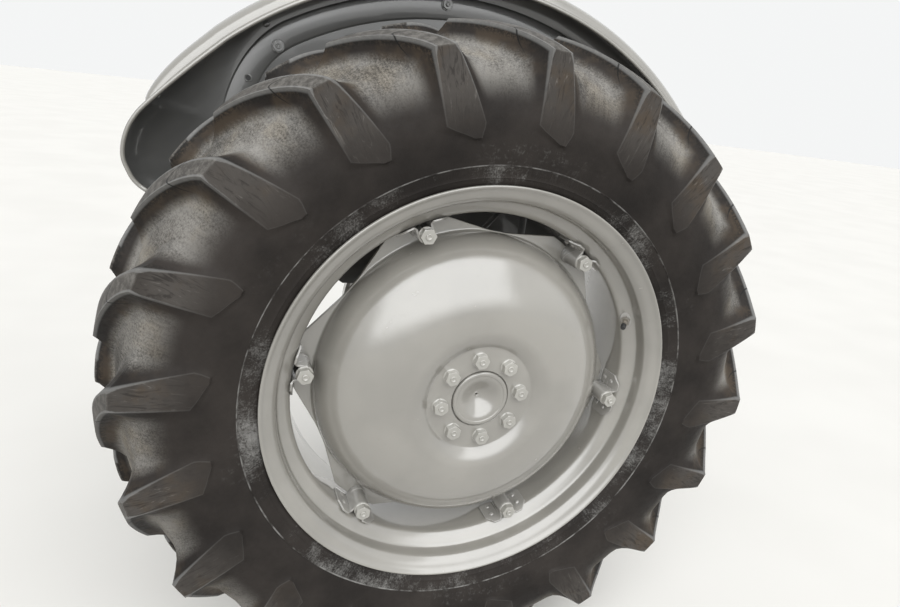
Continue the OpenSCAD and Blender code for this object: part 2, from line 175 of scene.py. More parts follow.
class Shell:
    """Grids of points that become one mesh, with values kept at their points."""

    def __init__(self) -> None:
        """Starts with no grid."""
        self.points: list[Array] = []
        self.faces: list[Array] = []
        self.slots: list[Array] = []
        self.values: dict[str, list[Array]] = {}
        self.count = 0

    def grid(self, points: Array, around: bool = False, along: bool = False, flip: bool = False,
             slot: int = 0, **values: Array) -> "Shell":
        """Adds a grid of points as quads.

        Args:
            points: an array of rows, columns and x, y, z.
            around: joins the last row to the first.
            along: joins the last column to the first.
            flip: turns the faces over.
            slot: the material slot of its faces.
            values: arrays of rows, columns and three numbers, kept as attributes.

        Returns:
            The shell.
        """
        rows, columns = points.shape[:2]
        i = np.arange(rows if around else rows - 1)
        j = np.arange(columns if along else columns - 1)
        a, b = i[:, None] * columns + j, ((i + 1) % rows)[:, None] * columns + j
        step = (j + 1) % columns - j
        quads = np.stack([a, b, b + step, a + step], -1).reshape(-1, 4)
        self.faces.append((quads[:, ::-1] if flip else quads) + self.count)
        self.slots.append(np.full(len(quads), slot))
        self.points.append(points.reshape(-1, 3))
        for name, value in values.items():
            self.values.setdefault(name, []).append(value.reshape(-1, 3))
        self.count += rows * columns
        return self

    def cap(self, ring: Array, flip: bool = False) -> "Shell":
        """Closes a ring of points with a fan about its middle."""
        middle = np.broadcast_to(ring.mean(0), ring.shape)
        return self.grid(np.stack([ring, middle]), along=True, flip=flip)

    def build(self, name: str, finishes: Sequence[bpy.types.Material], sharp: float = 40.0,
              weld: bool = True) -> bpy.types.Object:
        """Makes the mesh, in metres in the row frame.

        Args:
            name: the piece's name.
            finishes: its materials, one for each slot.
            sharp: edges that turn by more degrees than this stay sharp.
            weld: joins points that lie together and drops faces with no area.

        Returns:
            The new object.
        """
        points = (np.concatenate(self.points) * MM) + np.array([0.0, RIM_EDGE_Y, 0.0])
        mesh = bpy.data.meshes.new(name)
        mesh.from_pydata(points.tolist(), [], np.concatenate(self.faces).tolist())
        mesh.polygons.foreach_set("material_index", np.concatenate(self.slots).astype(np.int32))
        for key, parts in self.values.items():
            attribute = mesh.attributes.new(key, "FLOAT_VECTOR", "POINT")
            attribute.data.foreach_set("vector", np.concatenate(parts).astype(np.float32).ravel())
        if weld:
            work = bmesh.new()
            work.from_mesh(mesh)
            bmesh.ops.remove_doubles(work, verts=work.verts, dist=2e-6)
            bmesh.ops.dissolve_degenerate(work, edges=work.edges, dist=1e-6)
            work.to_mesh(mesh)
            work.free()
        for finish in finishes:
            mesh.materials.append(finish)
        mesh.shade_smooth()
        mesh.set_sharp_from_angle(angle=math.radians(sharp))
        mesh.update()
        piece = bpy.data.objects.new(name, mesh)
        bpy.context.scene.collection.objects.link(piece)
        return piece


def place(piece: bpy.types.Object, body: Body, slot: Slot, *nodes: str) -> None:
    """Lets a piece ride on a body and hides the CAD nodes it stands for."""
    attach(piece, body.value)
    if nodes:
        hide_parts(*nodes)
    log.info("%s: %d faces", piece.name, len(piece.data.polygons))


# Finishes


class Graph:
    """A node tree, with short calls that give back output sockets."""

    def __init__(self, tree: bpy.types.NodeTree) -> None:
        """Keeps the tree's nodes and links."""
        self.nodes, self.links = tree.nodes, tree.links

    def put(self, socket: Socket, value: object) -> None:
        """Links a socket or sets its value, where a tuple is a colour."""
        if isinstance(value, Socket):
            self.links.new(value, socket)
        else:
            socket.default_value = (*value, 1.0) if isinstance(value, tuple) else value

    def math(self, operation: str, *inputs: object, clamp: bool = False) -> Socket:
        """Adds a Math node."""
        node = self.nodes.new("ShaderNodeMath")
        node.operation, node.use_clamp = operation, clamp
        for socket, value in zip(node.inputs, inputs):
            self.put(socket, value)
        return node.outputs[0]

    def plus(self, *terms: object) -> Socket:
        """Adds numbers up, from the left."""
        return reduce(lambda total, term: self.math("ADD", total, term), terms)

    def times(self, *factors: object) -> Socket:
        """Multiplies numbers, from the left."""
        return reduce(lambda total, factor: self.math("MULTIPLY", total, factor), factors)

    def split(self, vector: Socket) -> tuple[Socket, ...]:
        """Gives the three numbers of a vector."""
        node = self.nodes.new("ShaderNodeSeparateXYZ")
        self.links.new(vector, node.inputs[0])
        return tuple(node.outputs)

    def span(self, value: Socket, low: object, high: object, start: object = 0.0, end: object = 1.0,
             smooth: bool = True) -> Socket:
        """Maps low..high to start..end, held at both ends."""
        node = self.nodes.new("ShaderNodeMapRange")
        node.interpolation_type = "SMOOTHSTEP" if smooth else "LINEAR"
        for socket, number in zip(node.inputs, (value, low, high, start, end)):
            self.put(socket, number)
        return node.outputs[0]


class Tree(Graph):
    """A material's node tree with its principled shader."""

    def __init__(self, name: str) -> None:
        """Starts a material."""
        self.material = bpy.data.materials.new(name)
        self.material.use_nodes = True
        super().__init__(self.material.node_tree)
        self.shader = self.nodes["Principled BSDF"]

    def coordinates(self) -> Socket:
        """Gives the Object coordinates."""
        return self.nodes.new("ShaderNodeTexCoord").outputs["Object"]

    def attribute(self, name: str) -> tuple[Socket, ...]:
        """Gives the three numbers of an attribute."""
        node = self.nodes.new("ShaderNodeAttribute")
        node.attribute_name = name
        return self.split(node.outputs["Vector"])

    def reach(self, x: Socket, z: Socket) -> Socket:
        """Gives the distance from the axle, the root of x * x + z * z."""
        return self.math("SQRT", self.plus(self.times(x, x), self.times(z, z)))

    def around(self, turn: float, radial: float, axial: float = 0.0) -> Socket:
        """Gives coordinates that follow the wheel: turn scales the direction, radial the radius.

        The vector is (cos a * turn, sin a * turn, radius * radial + y * axial), so it has no seam.
        """
        x, y, z = self.split(self.coordinates())
        radius = self.reach(x, z)
        safe = self.math("MAXIMUM", radius, MM)
        node = self.nodes.new("ShaderNodeCombineXYZ")
        self.put(node.inputs[0], self.times(self.math("DIVIDE", x, safe), turn))
        self.put(node.inputs[1], self.times(self.math("DIVIDE", z, safe), turn))
        self.put(node.inputs[2], self.plus(self.times(radius, radial), self.times(y, axial)))
        return node.outputs[0]

    def radius(self) -> Socket:
        """Gives the distance from the axle in millimetres."""
        x, _, z = self.split(self.coordinates())
        return self.times(self.reach(x, z), 1.0 / MM)

    def noise(self, scale: float, detail: float = 4.0, roughness: float = 0.55, distortion: float = 0.0,
              vector: Socket | None = None) -> Socket:
        """Adds a Noise node on the Object coordinates or on a vector."""
        node = self.nodes.new("ShaderNodeTexNoise")
        self.links.new(vector or self.coordinates(), node.inputs["Vector"])
        numbers = {"Scale": scale, "Detail": detail, "Roughness": roughness, "Distortion": distortion}
        for key, value in numbers.items():
            node.inputs[key].default_value = value
        return node.outputs["Fac"]

    def mix(self, share: object, first: object, second: object) -> Socket:
        """Mixes two colours, whose sockets are numbers 6 and 7 of a Mix node."""
        node = self.nodes.new("ShaderNodeMix")
        node.data_type = "RGBA"
        for key, value in ((0, share), (6, first), (7, second)):
            self.put(node.inputs[key], value)
        return node.outputs[2]

    def cover(self, tone: Socket, colour: object, *shares: object) -> Socket:
        """Lays a colour over a tone, by the product of the shares."""
        return self.mix(self.times(*shares), tone, colour)

    def bump(self, height: Socket, strength: float, distance: float, normal: Socket | None = None) -> Socket:
        """Adds a Bump node, in metres."""
        node = self.nodes.new("ShaderNodeBump")
        node.inputs["Strength"].default_value = strength
        node.inputs["Distance"].default_value = distance
        self.links.new(height, node.inputs["Height"])
        if normal is not None:
            self.links.new(normal, node.inputs["Normal"])
        return node.outputs[0]

    def dress(self, **inputs: object) -> bpy.types.Material:
        """Sets the shader's sockets and gives back the material."""
        for key, value in inputs.items():
            self.put(self.shader.inputs[key.replace("_", " ")], value)
        return self.material


def shade(colour: Colour, factor: float) -> Colour:
    """Gives a colour made darker or lighter by a factor."""
    return tuple(factor * part for part in colour)


@dataclass(frozen=True)
class Enamel:
    """Glossy enamel put on with a brush."""

    name: str
    colour: Colour = (0.270, 0.259, 0.234)
    roughness: float = 0.20
    streaks: float = 1.0
    dirt: float = 1.0
    soil: Colour = (0.19, 0.17, 0.14)
    stroke_scales: tuple[float, float, float] = (2.5, 120.0, 120.0)

    def make(self) -> bpy.types.Material:
        """Makes the material: mottled grey, brush strokes along the turn, soft peel and a little grime."""
        t = Tree(self.name)
        cloud = t.noise(5.0, 3.0)
        stroke = t.noise(1.0, 2.0, 0.5, 0.2, t.around(*self.stroke_scales))
        tone = t.mix(t.span(cloud, 0.35, 0.65), shade(self.colour, 0.90), shade(self.colour, 1.07))
        grime = t.times(t.span(t.noise(24.0, 5.0, 0.7), 0.58, 0.80), 0.26 * self.dirt)
        tone = t.mix(grime, tone, self.soil)
        gloss = t.span(stroke, 0.3, 0.75, self.roughness * 0.9, self.roughness * 1.15)
        gloss = t.plus(gloss, t.times(grime, 0.5))
        peel = t.bump(t.noise(330.0, 2.0), 0.10, 0.0004)
        brushed = t.bump(stroke, 0.035 * self.streaks, 0.0006, peel)
        sag = t.bump(t.noise(22.0, 2.0, 0.5, 0.8), 0.10, 0.0030, brushed)
        return t.dress(Base_Color=tone, Roughness=gloss, Normal=sag, Specular_IOR_Level=1.0,
                       Coat_Weight=1.0, Coat_Roughness=0.06)


@dataclass(frozen=True)
class Rubber:
    """Weathered tyre rubber with dust on its tread, scuffs beside the rim and painted highlights on the lugs'
    edges and feet.

    The tyre's points carry a vector named lug: how far outside a lug's top edge they lie, their station
    and their height on the lugs. The fields grain and specks are noises: scale, detail and roughness.
    """

    name: str
    dark: Colour = (0.013, 0.011, 0.010)
    worn: Colour = (0.034, 0.029, 0.026)
    face: Colour = (0.076, 0.069, 0.063)
    brown: Colour = (0.072, 0.054, 0.038)
    grey_dust: Colour = (0.345, 0.330, 0.305)
    tan_dust: Colour = (0.385, 0.352, 0.300)
    # Partly wear and partly a painted highlight on the lugs' top edges, and a painted highlight at the feet
    # of their walls.
    pale: Colour = (0.250, 0.250, 0.246)
    scuff: Colour = (0.270, 0.266, 0.256)
    crust: Colour = (0.014, 0.013, 0.012)
    crease: Colour = (0.010, 0.010, 0.010)
    grain: tuple[float, ...] = (95.0, 5.0, 0.7)
    specks: tuple[float, ...] = (330.0, 4.0, 0.75)
    top_station: float = 142.0
    ring_r: float = 412.5
    crease_station: float = 80.0
    crease_edge: float = -20.0
    crease_bow: float = 0.03

    def ends(self, t: Tree, tone: Socket, on_top: Socket, beyond: Socket, station: Socket) -> Socket:
        """Adds the lugs' end faces: lighter, browner in patches, with dark and dusty wrinkles.

        Args:
            t: the material's tree.
            tone: the rubber's colour.
            on_top: the share of a lug's top.
            beyond: the share of what lies beyond the tread.
            station: the station.

        Returns:
            The colour.
        """
        cloud, patch = t.noise(7.0, 5.0, 0.6), t.noise(13.0, 4.0, 0.6)
        wrinkle = t.noise(1.0, 4.0, 0.65, 1.6, t.around(55.0, 20.0, 20.0))
        face = t.times(on_top, beyond, t.span(station, 262.0, 185.0, 0.15, 1.0))
        tone = t.cover(tone, self.face, face, t.span(cloud, 0.30, 0.62, 0.25, 0.95))
        tone = t.cover(tone, self.brown, face, t.span(patch, 0.48, 0.70, 0.0, 0.75))
        tone = t.cover(tone, self.dark, face, t.span(wrinkle, 0.50, 0.68, 0.0, 0.6))
        return t.cover(tone, self.grey_dust, face, t.span(wrinkle, 0.40, 0.26, 0.0, 0.3))

    def tread(self, t: Tree, tone: Socket, lug: Sequence[Socket]) -> tuple[Socket, Socket]:
        """Adds the lugs' tops, worn edges that also carry a painted highlight, a painted highlight at the
        walls' feet, crust, brown walls and dusty floors.

        Args:
            t: the material's tree.
            tone: the rubber's colour.
            lug: edge distance, station and height.

        Returns:
            The colour and the dust's share.
        """
        edge, station, height = lug
        cloud, patch = t.noise(7.0, 5.0, 0.6), t.noise(13.0, 4.0, 0.6)
        ragged = t.noise(230.0, 3.0, 0.7)
        fibre = t.noise(1.0, 5.0, 0.65, 0.4, t.around(120.0, 22.0, 22.0))
        on_tread = t.span(station, 215.0, 130.0)
        on_top = t.span(height, 0.86, 0.95)
        crown = t.span(station, self.top_station + 3.0, self.top_station - 2.0)
        tone = self.ends(t, tone, on_top, t.math("SUBTRACT", 1.0, crown), station)
        powder = t.span(t.noise(*self.grain), 0.35, 0.7, 0.12, 0.45)
        tone = t.cover(tone, self.grey_dust, on_top, crown, powder)
        strewn = t.plus(t.times(fibre, 0.15), t.times(cloud, 0.45), t.times(t.noise(*self.specks), 0.38))
        dust = t.times(on_tread, t.span(height, 0.50, 0.02), t.span(strewn, 0.34, 0.60))
        earth = t.mix(t.span(patch, 0.46, 0.66), self.grey_dust, self.tan_dust)
        tone = t.cover(tone, earth, dust, 0.85)
        wall = t.times(t.span(height, 0.08, 0.35), t.span(height, 0.93, 0.75))
        tone = t.cover(tone, self.brown, wall, on_tread, t.span(patch, 0.40, 0.62), 0.65)
        # Painted highlight: a faint pale band along the foot of each lug's wall, for light caught by the
        # fillet there.
        foot = t.times(t.span(height, 0.0, 0.03), t.span(height, 0.20, 0.06))
        tone = t.cover(tone, self.pale, foot, on_tread, 0.12)
        below_top = t.times(t.span(height, 0.52, 0.78), t.span(height, 0.97, 0.90))
        torn = t.times(t.span(station, 200.0, 140.0), t.span(ragged, 0.60, 0.44))
        tone = t.cover(tone, self.crust, below_top, torn, 0.85)
        # The pale band along the lugs' top edges is partly wear and partly a painted highlight; it is strong
        # on the tread and faint on the ends.
        width = t.span(station, self.top_station, self.top_station + 14.0, -3.6, -0.9)
        near = t.span(t.plus(edge, t.times(ragged, 2.6)), width, t.plus(width, 2.2))
        rubbed = t.times(t.span(height, 0.80, 0.90), t.span(station, 240.0, 120.0, 0.06, 0.55))
        tone = t.cover(tone, self.pale, near, rubbed)
        return self.seam(t, tone, lug), dust

    def seam(self, t: Tree, tone: Socket, lug: Sequence[Socket]) -> Socket:
        """Draws a thin dark curved crease across each lug's top.

        The crease lies where the station is its own plus its bow times the square of the way to its edge.
        """
        edge, station, height = lug
        bow = t.math("POWER", t.math("SUBTRACT", edge, self.crease_edge), 2.0)
        past = t.math("SUBTRACT", station, self.crease_station)
        away = t.math("ABSOLUTE", t.math("SUBTRACT", past, t.times(bow, self.crease_bow)))
        return t.cover(tone, self.crease, t.span(away, 1.6, 0.5), t.span(height, 0.30, 0.55), 0.85)

    def make(self) -> bpy.types.Material:
        """Makes the material: mottled rubber, the tread's marks, then the scuffs and lines by the rim."""
        t = Tree(self.name)
        lug = t.attribute("lug")
        grain, radius = t.noise(*self.grain), t.radius()
        tone = t.mix(t.span(t.noise(6.0, 5.0, 0.6), 0.3, 0.72), self.dark, self.worn)
        tone, dust = self.tread(t, tone, lug)
        side = t.span(lug[1], 278.0, 290.0)
        flow = t.noise(1.0, 5.0, 0.7, 2.4, t.around(34.0, 26.0))
        scratch = t.noise(1.0, 3.0, 0.6, 0.9, t.around(40.0, 150.0))
        rubbed = t.times(t.span(radius, self.ring_r + 3.0, self.ring_r - 3.0), side)
        blotch = t.times(t.noise(7.0, 4.0, 0.6), 1.2)
        marks = t.plus(blotch, t.times(flow, 0.30), t.times(t.noise(*self.specks), 0.45))
        broken = t.span(scratch, 0.34, 0.42, 0.25, 1.0)
        tone = t.cover(tone, self.scuff, rubbed, t.span(marks, 0.94, 1.22), broken, 0.75)
        faint = t.times(t.span(t.noise(3.5, 2.0), 0.50, 0.68), t.span(t.plus(flow, scratch), 1.02, 1.30))
        tone = t.cover(tone, self.scuff, side, faint, 0.16)
        from_ring = t.math("ABSOLUTE", t.math("SUBTRACT", radius, self.ring_r))
        gaps = t.span(t.noise(30.0, 4.0), 0.40, 0.60)
        tone = t.cover(tone, self.scuff, t.span(from_ring, 1.5, 0.4), side, gaps, 0.75)
        rough = t.span(t.plus(grain, t.times(dust, 0.8)), 0.2, 1.2, 0.52, 0.95)
        skin = t.bump(grain, 0.30, 0.0010)
        pits = t.bump(t.noise(420.0, 3.0, 0.7), 0.22, 0.0006, skin)
        folds = t.bump(t.times(rubbed, flow), 0.35, 0.0022, pits)
        return t.dress(Base_Color=tone, Roughness=rough, Normal=folds, Specular_IOR_Level=0.16)


@dataclass(frozen=True)
class Plain:
    """A small finish with mottled colour, for iron, brass and rubber caps."""

    name: str
    colour: Colour
    roughness: float = 0.6
    metallic: float = 0.0
    grain: float = 120.0
    depth: float = 0.0008

    def make(self) -> bpy.types.Material:
        """Makes the material: two tones of the colour, rough grain and bump."""
        t = Tree(self.name)
        spots = t.noise(self.grain, 4.0, 0.65)
        share = t.span(t.times(t.plus(t.noise(14.0, 3.0), spots), 0.5), 0.35, 0.65)
        tone = t.mix(share, shade(self.colour, 0.72), shade(self.colour, 1.2))
        rough = t.span(spots, 0.3, 0.7, self.roughness * 0.85, self.roughness * 1.2)
        return t.dress(Base_Color=tone, Roughness=rough, Metallic=self.metallic,
                       Normal=t.bump(spots, 0.4, self.depth))


def made(finish: Enamel | Rubber | Plain) -> bpy.types.Material:
    """Declares a field that holds a finish's material."""
    return field(default_factory=finish.make)


@dataclass
class Finishes:
    """The materials that the pieces share."""

    enamel: bpy.types.Material = made(Enamel("grey_enamel"))
    small: bpy.types.Material = made(Enamel("grey_enamel_fastenings", (0.36, 0.35, 0.32), 0.2, 0.6, 1.3))
    grimed: bpy.types.Material = made(Enamel("grimed_enamel", (0.16, 0.145, 0.12), 0.3, 0.6, 2.2))
    lug: bpy.types.Material = made(Enamel("grey_enamel_lugs", (0.31, 0.30, 0.28), 0.24, 0.7, 1.8))
    # The guard's inner side and the nuts there are darker enamel, partly its own colour and partly painted
    # shade from the crown and the tyre.
    lining_and_shade: bpy.types.Material = made(Enamel("guard_lining_and_shade", (0.088, 0.088, 0.085), 0.36, 0.1, 0.3))
    lining_nut_and_shade: bpy.types.Material = made(Enamel("guard_nuts_and_shade", (0.15, 0.15, 0.145), 0.34, 0.6, 0.3))
    rubber: bpy.types.Material = made(Rubber("tyre_rubber"))
    iron: bpy.types.Material = made(Plain("painted_iron", (0.20, 0.19, 0.175), 0.5))
    cap: bpy.types.Material = made(Plain("black_cap", (0.02, 0.02, 0.02), 0.45))
    brass: bpy.types.Material = made(Plain("dull_brass", (0.20, 0.18, 0.15), 0.4, 0.3))


# Pieces


@dataclass
class Tyre:
    """The lugged tyre.

    Its surface runs from the floor of the tread to the lugs' tops by a height from 0 to 1. A station is a way
    along the surface from the tread's middle, across the tread and then down a lug's end. A lead is how far
    a lug runs ahead round the tyre, in degrees. The nose is a lug's end at the tread's middle, the tip its
    end on the sidewall. The plain values are those of the points below the lugs.
    """

    lugs: int = 20
    first: float = 103.56
    lead: float = 13.7
    lead_power: float = 1.25
    end_lead: float = -4.9
    corner_lead: float = -2.25
    half_width: float = 142.0
    middle_y: float = 125.0
    middle_r: float = 600.0
    top_r: float = 627.0
    top_drop: float = 39.0
    floor_r: float = 594.0
    floor_drop: float = 32.0
    floor_half: float = 104.0
    cavity_r: float = 567.0
    lug_half: float = 17.0
    lug_swell: float = 7.0
    corner_half: float = 3.65
    tip_half: float = 0.05
    top_slope: float = 0.27
    end_rise: float = 46.0
    tip_rise: float = 5.0
    wall_run: float = 13.0
    wall_lean: float = 0.85
    nose_run: float = 0.42
    foot_gap: float = 0.35
    zone_limit: float = 8.0
    nose_foot: float = 4.25
    nose_w: float = 12.0
    nose_round: float = 9.0
    round_end: float = 52.0
    round_fade: float = 34.0
    end_r: float = 452.0
    end_corner: float = 0.816
    end_swell: float = 1.2
    end_tuck: float = 2.0
    tip_start: float = 0.97
    tip_fade: float = 6.0
    wall_power: float = 2.3
    blend_rows: float = 8.0
    plain: tuple[float, float, float] = (40.0, 300.0, 0.0)
    tread_rows: tuple[float, ...] = (
        0, 3, 6, 9, 12, 15, 19, 25, 34, 46, 60, 74, 88, 101, 113, 124, 133, 139, 142)
    end_rows: tuple[float, ...] = (.04, .10, .18, .28, .40, .52, .64, .73, .80, .86, .92, .97, 1.0, 1.05)
    ring_rows: tuple[float, ...] = (
        440, 432, 424, 417, 414.2, 413.2, 412.4, 411.6, 410.4, 405, 399, 394.5, 393, 391.5, 387.5)
    rings: tuple[Pairs, ...] = (
        ((411.6, 0), (412.4, 1.1), (413.2, 1.1), (414.2, 0)), ((391.5, 0), (393, 0.8), (394.5, 0)))
    sidewall: Pairs = (
        (562, 104), (549, 115.5), (534.9, 126), (515, 134.5), (495, 139), (473, 139.6), (451.6, 137.5),
        (430, 133.8), (411.8, 129.5), (398, 125.5), (386, 121.5))
    bead: Pairs = (
        (383.2, 119.6), (379, 116.2), (372, 111.8), (363, 106.5), (357.5, 101.5), (355.9, 97), (355.9, 84),
        (359, 81), (368, 84), (385, 97), (410, 109), (440, 116.5), (480, 115), (515, 104), (540, 84),
        (558, 50))

    def columns(self, half: Array, foot: Array, zone: Array) -> Array:
        """Places the columns of half a pitch, from a lug's middle at 0 to the next gap's middle.

        Args:
            half: half the lug's width at each row, in degrees.
            foot: the wall's foot at each row, in degrees.
            zone: where the lug's columns end at each row, in degrees.

        Returns:
            An array of rows and 20 columns.
        """
        top = np.array([0.0, 0.4, 0.75, 0.94, 1.0])
        wall = np.array([0.08, 0.22, 0.42, 0.68, 1.0])
        own = np.concatenate([half[:, None] * top, half[:, None] + (foot - half)[:, None] * wall], 1)
        pattern = own[0] / (90.0 / self.lugs)
        half_pitch = 180.0 / self.lugs
        rest = half_pitch - (half_pitch - zone)[:, None] * pattern[::-1]
        return np.concatenate([own, rest], 1)

    def widths(self, row_w: Array, q: Array) -> tuple[Array, Array, Array]:
        """Works out a lug's half width, its wall's foot and its zone's end at each row, in degrees.

        The wall runs out by a length of its own plus a share of its rise.

        Args:
            row_w: the tread's rows, in millimetres from its middle.
            q: the rows of a lug's end, 0 at the shoulder and 1 at the tip.

        Returns:
            Three arrays of rows.
        """
        across = self.lug_half + self.lug_swell * (1 - row_w / self.half_width)
        shoulder = math.degrees(self.lug_half / (self.top_r - self.top_drop))
        end = np.interp(q, (0, self.end_corner, 1.0), (shoulder, self.corner_half, self.tip_half))
        half = np.concatenate([np.degrees(across / self.middle_r), end])
        rise = np.concatenate([np.hypot(self.top_r - self.floor_r, self.top_slope * row_w),
                               self.end_rise * (1 - q) + self.tip_rise])
        run = np.degrees((self.wall_run + self.wall_lean * rise) / self.middle_r)
        run[:len(row_w)] *= np.interp(row_w, (0, self.nose_w), (self.nose_run, 1.0))
        foot = half + run
        zone = np.minimum(foot + self.foot_gap, self.zone_limit)
        zone[0] = 90.0 / self.lugs
        foot[0] = min(foot[0], self.nose_foot)
        return half, foot, zone

    def half(self) -> tuple[Array, ...]:
        """Works out one side of the outer surface, from the middle of the tread to below the lugs' ends.

        A point is the floor's point plus its height times the way from there to the lug's top.

        Returns:
            Arrays of rows and columns: angle from the lug, radius, distance from the middle, edge distance,
            station and height.
        """
        wall = smooth_path(self.sidewall)
        row_w, q = np.array(self.tread_rows, float), np.array(self.end_rows)
        tread = len(row_w)
        shoulder_r, base_r = self.top_r - self.top_drop, self.floor_r - self.floor_drop
        end_length = shoulder_r - self.end_r
        half, foot, zone = self.widths(row_w, q)
        columns = self.columns(half, foot, zone)
        position = np.concatenate([-columns[:, :0:-1], columns[:, :-1]], 1)
        distance, run = np.abs(position), (foot - half)[:, None]
        past = distance - half[:, None]
        share = np.clip(distance / half[:, None], 0, 1) ** 2 * np.clip((foot[:, None] - distance) / run, 0, 1)
        station = np.concatenate([row_w, self.half_width + end_length * q])[:, None]
        fade = np.clip(station / self.nose_w, 0, 1)
        fade *= np.clip((self.round_end - station) / self.round_fade, 0, 1)
        w = np.minimum(station + self.nose_round * share * fade, self.half_width)
        q = q[:, None]
        top_rad = self.top_r - self.top_drop * (w / self.half_width) ** 2
        top_rad[tread:] = shoulder_r - end_length * q
        low_w = w * self.floor_half / self.half_width
        low_rad = self.floor_r - self.floor_drop * (low_w / self.floor_half) ** 2
        low_rad[tread:] = base_r - (base_r - self.end_r) * q
        low_w[tread:] = np.interp(-low_rad[tread:], -wall[:, 0], wall[:, 1])
        top_w = w.copy()
        end_w = self.half_width + self.end_swell * np.sin(np.pi * q) - self.end_tuck * np.clip(q - 0.8, 0, 1)
        top_w[tread:] = np.maximum(end_w, low_w[tread:])
        nose = np.clip((self.nose_w - station) / self.nose_w, 0, 1)
        tip = np.clip((station - (self.half_width + self.tip_start * end_length)) / self.tip_fade, 0, 1)
        slant = np.hypot(np.hypot(np.clip(past / run, 0, 1), nose), tip)
        height = (1 - np.clip(slant, 0, 1)) ** self.wall_power
        lead = self.lead * ((self.half_width - w) / self.half_width) ** self.lead_power
        lead[tread:] = np.interp(q, (0, self.end_corner, 1.0), (0, self.corner_lead, self.end_lead))
        radius = low_rad + height * (top_rad - low_rad)
        across = low_w + height * (top_w - low_w)
        edge = np.radians(past) * self.middle_r
        return position + lead, radius, across, edge, np.broadcast_to(station, w.shape), height

    def rest_of_half(self, angle: Array) -> tuple[Array, ...]:
        """Runs on down the sidewall, over its ring lines, round the bead and up the inside.

        Args:
            angle: the last row's angles.

        Returns:
            The same arrays as half() gives.
        """
        wall = smooth_path(self.sidewall)
        radii = np.array(self.ring_rows)
        across = np.interp(-radii, -wall[:, 0], wall[:, 1])
        for ring in self.rings:
            across += np.interp(radii, *zip(*ring))
        profile = np.vstack([np.stack([radii, across], 1), np.array(self.bead)])
        even = np.linspace(angle[0], angle[0] + 360.0 / self.lugs, len(angle) + 1)[:-1]
        blend = np.clip(np.arange(len(profile)) / self.blend_rows, 0, 1)[:, None]
        shape = (len(profile), len(angle))
        angles = angle[None] * (1 - blend) + even[None] * blend
        return (angles, np.broadcast_to(profile[:, :1], shape), np.broadcast_to(profile[:, 1:], shape),
                *(np.full(shape, value) for value in self.plain))

    def side(self, sign: int) -> tuple[Array, Array]:
        """Makes one side's grid round the whole turn.

        Args:
            sign: 1 for the outer side, -1 for the inner, whose lugs stand half a pitch on.

        Returns:
            Points and lug values, row by column.
        """
        half = self.half()
        parts = [np.concatenate(pair) for pair in zip(half, self.rest_of_half(half[0][-1]))]
        pitch, start = 360.0 / self.lugs, self.first
        if sign < 0:
            middle = parts[0].shape[1] // 2
            parts = [np.roll(part, middle, 1) for part in parts]
            parts[0][:, :middle] -= pitch
            start += pitch / 2
        turns = np.arange(self.lugs)[None, :, None] * pitch
        angles = (parts[0][:, None] + turns + start).reshape(len(parts[0]), -1)
        radius, across, *lug = (np.tile(part, (1, self.lugs)) for part in parts[1:])
        x, z = polar(radius, angles)
        return np.stack([x, self.middle_y - sign * across, z], -1), np.stack(lug, -1)

    def build(self, finishes: Finishes) -> None:
        """Makes one closed skin: the outer side, then the inner side back to the tread's middle."""
        outer, outer_lug = self.side(1)
        inner, inner_lug = self.side(-1)
        angles = np.degrees(np.arctan2(outer[-1, :, 2], outer[-1, :, 0]))
        ring = revolve(np.array([[self.cavity_r, self.middle_y]]), angles)[None, :, 0]
        points = np.concatenate([outer, ring, inner[:0:-1]])
        values = np.concatenate([outer_lug, np.broadcast_to(self.plain, ring.shape), inner_lug[:0:-1]])
        skin = Shell().grid(points, around=True, along=True, flip=True, lug=values)
        piece = skin.build("tyre_skin", [finishes.rubber], 32.0, weld=False)
        place(piece, Body.WHEEL, Slot.TYRE, "tyre")


@dataclass
class Rim:
    """The rolled rim with its flanges, bead seats, slopes and well, and the seam where it was welded."""

    width: float = 250.0
    seam_angle: float = -160.0
    seam_rise: float = 0.9
    seam_half: float = 0.35
    seam_end: float = 20.0
    outside: Pairs = (
        (381, 5), (374, 10.5), (364, 15.5), (358.5, 20), (355.6, 25), (355.6, 43.5), (350.6, 47),
        (335.2, 56.7), (331.2, 61.5), (330, 67))
    inside: Pairs = (
        (325, 64.5), (326.8, 58.5), (332.5, 52.5), (340.5, 47.3), (347.8, 42.8), (350, 38), (352, 22.5),
        (355, 17), (361, 11), (371, 5.5), (376, 1.5))
    lip: Pairs = ((381.0, 1.8), (380.4, 0.6), (379.2, 0.0), (377.8, 0.2))

    def section(self) -> Array:
        """Gives the closed section: inside from the front, outside from the back, with a rounded lip."""
        inside = smooth_path(self.inside[::-1], 4)
        outside = smooth_path(self.outside, 4)
        mirror = np.array([1.0, -1.0])
        shift = np.array([0.0, self.width])
        front = np.vstack([np.array(self.lip), inside])
        back = (front * mirror + shift)[::-1]
        return np.vstack([front, back, outside * mirror + shift, outside[::-1]])

    def build(self, finishes: Finishes) -> None:
        """Carries the section round, with a small ridge across its front at the weld."""
        angles = full_turn(288, self.seam_angle)
        section = self.section()
        points = revolve(section, angles)
        turn = (angles - self.seam_angle + 180) % 360 - 180
        ridge = self.seam_rise * np.exp(-(turn / self.seam_half) ** 2)
        points[..., 1] -= ridge[:, None] * (section[:, 1] < self.seam_end)
        shell = Shell().grid(points, around=True, along=True)
        place(shell.build("rim_ring", [finishes.enamel], 50.0), Body.WHEEL, Slot.ENAMEL, "rim")


